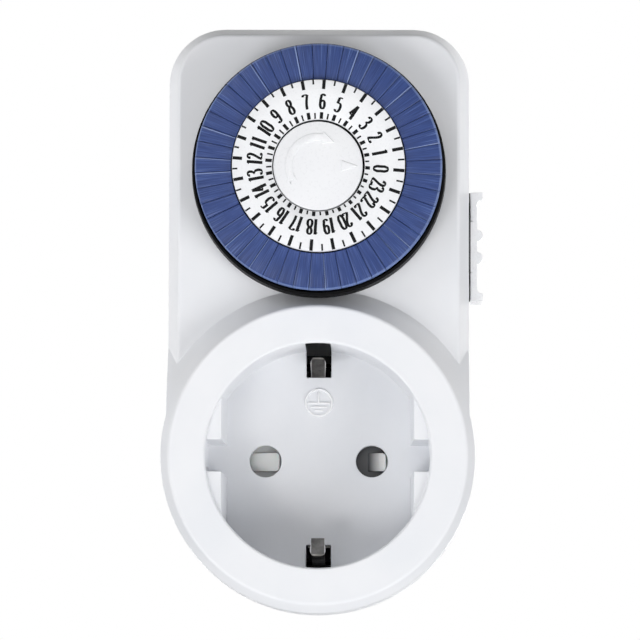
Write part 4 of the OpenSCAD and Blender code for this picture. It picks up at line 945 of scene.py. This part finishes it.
def floor():
    """Matt white paint on a floor: it glows a little for the eye alone, so that it is as pale as the room."""
    form = bmesh.new()
    bmesh.ops.create_grid(form, x_segments=2, y_segments=2, size=FLOOR_HALF)
    bmesh.ops.translate(form, verts=form.verts, vec=(0, 0, FLOOR_Z))
    sheet = new_object("floor", mesh_of(form, "floor"))
    material, tree, shader, place = new_material("matt white paint", "#F4F4F5", 0.8)
    # Specks of the roller, 3 mm wide
    speck_at = add(tree, "ShaderNodeVectorMath", {0: place, "Scale": 1 / (3 * MM)}, operation="SCALE")
    speck = add(tree, "ShaderNodeTexNoise", {"Vector": speck_at, "Scale": 1.0, "Detail": 2.0})
    gloss = add(tree, "ShaderNodeMapRange", [speck, 0.3, 0.7, 0.75, 0.85])
    seen = add(tree, "ShaderNodeLightPath").outputs["Is Camera Ray"]
    glow = add(tree, "ShaderNodeMath", [seen, FLOOR_GLOW], operation="MULTIPLY")
    feed(tree, shader, {"Roughness": gloss, "Emission Color": "#FFFFFF", "Emission Strength": glow})
    sheet.data.materials.append(material)
    sheet.visible_shadow = False


floor()

# The lamps stand at one distance from a point, and face it
LIT_POINT = Vector((0, -0.04, 0.025))
LAMP_DISTANCE = 2.5
# Each lamp: how far it is turned to the right and raised from the front, its size, and the level it gives
LAMPS = {
    "front lamp, low": (-8, -35, 1.0, 0.08), "small front lamp, left": (-22, -25, 0.75, 0.16),
    "lower right lamp": (45, -30, 1.25, 0.38), "lower left lamp": (-45, -30, 1.25, 0.2),
    "left lamp": (-80, -10, 2.0, 0.4), "right lamp": (80, -10, 2.0, 0.4),
    "front lamp, high": (0, 12, 1.25, 0.05), "upper left lamp": (-30, 35, 1.25, 0.1),
    "back lamp": (172, 4, 1.6, 0.42)}

for name, (turn, rise, size, light_level) in LAMPS.items():
    light = bpy.data.lights.new(name, "AREA")
    light.shape = "DISK"
    light.size = size
    light.energy = light_level * 4 * math.pi * LAMP_DISTANCE ** 2
    way = direction(turn, rise)
    lamp = new_object(name, light)
    lamp.location = LIT_POINT + way * LAMP_DISTANCE
    lamp.rotation_euler = way.to_track_quat("Z", "Y").to_euler()
    lamp.visible_camera = False

ROOM_LIGHT = 0.08


def room():
    """An even white room: dimmer for the light that it gives than for the eye and for reflections."""
    world = bpy.data.worlds.new("white room")
    world.use_nodes = True
    tree = world.node_tree
    tree.nodes.clear()
    path = add(tree, "ShaderNodeLightPath").outputs
    seen = add(tree, "ShaderNodeMath", [path["Is Camera Ray"], path["Is Glossy Ray"]], operation="MAXIMUM")
    seen = add(tree, "ShaderNodeMath", [seen, path["Is Transmission Ray"]], operation="MAXIMUM")
    light = add(tree, "ShaderNodeBackground", ["#FFFFFF", ROOM_LIGHT])
    white = add(tree, "ShaderNodeBackground", ["#FFFFFF", 1.0])
    both = add(tree, "ShaderNodeMixShader", [seen, light, white])
    add(tree, "ShaderNodeOutputWorld", [both])
    bpy.context.scene.world = world


room()

scene = bpy.context.scene
scene.view_settings.view_transform = "Standard"

# A long lens close to the axis, a little below the part and to its right, and turned a touch
LOOKED_AT = front(0.375, 23.77, 47)
CAMERA_DISTANCE = 0.975
CAMERA_SIDE, CAMERA_RISE, CAMERA_ROLL = 0.69, -5.14, 0.15
camera = new_object("camera", bpy.data.cameras.new("camera"))
camera.data.sensor_width = 36
camera.data.lens = 311.9
camera.data.clip_start = 0.05
camera.data.clip_end = 20
way = direction(CAMERA_SIDE, CAMERA_RISE)
camera.location = LOOKED_AT + way * CAMERA_DISTANCE
camera.rotation_euler = (way.to_track_quat("Z", "Y") @ Quaternion((0, 0, 1), CAMERA_ROLL * DEGREE)).to_euler()
scene.camera = camera
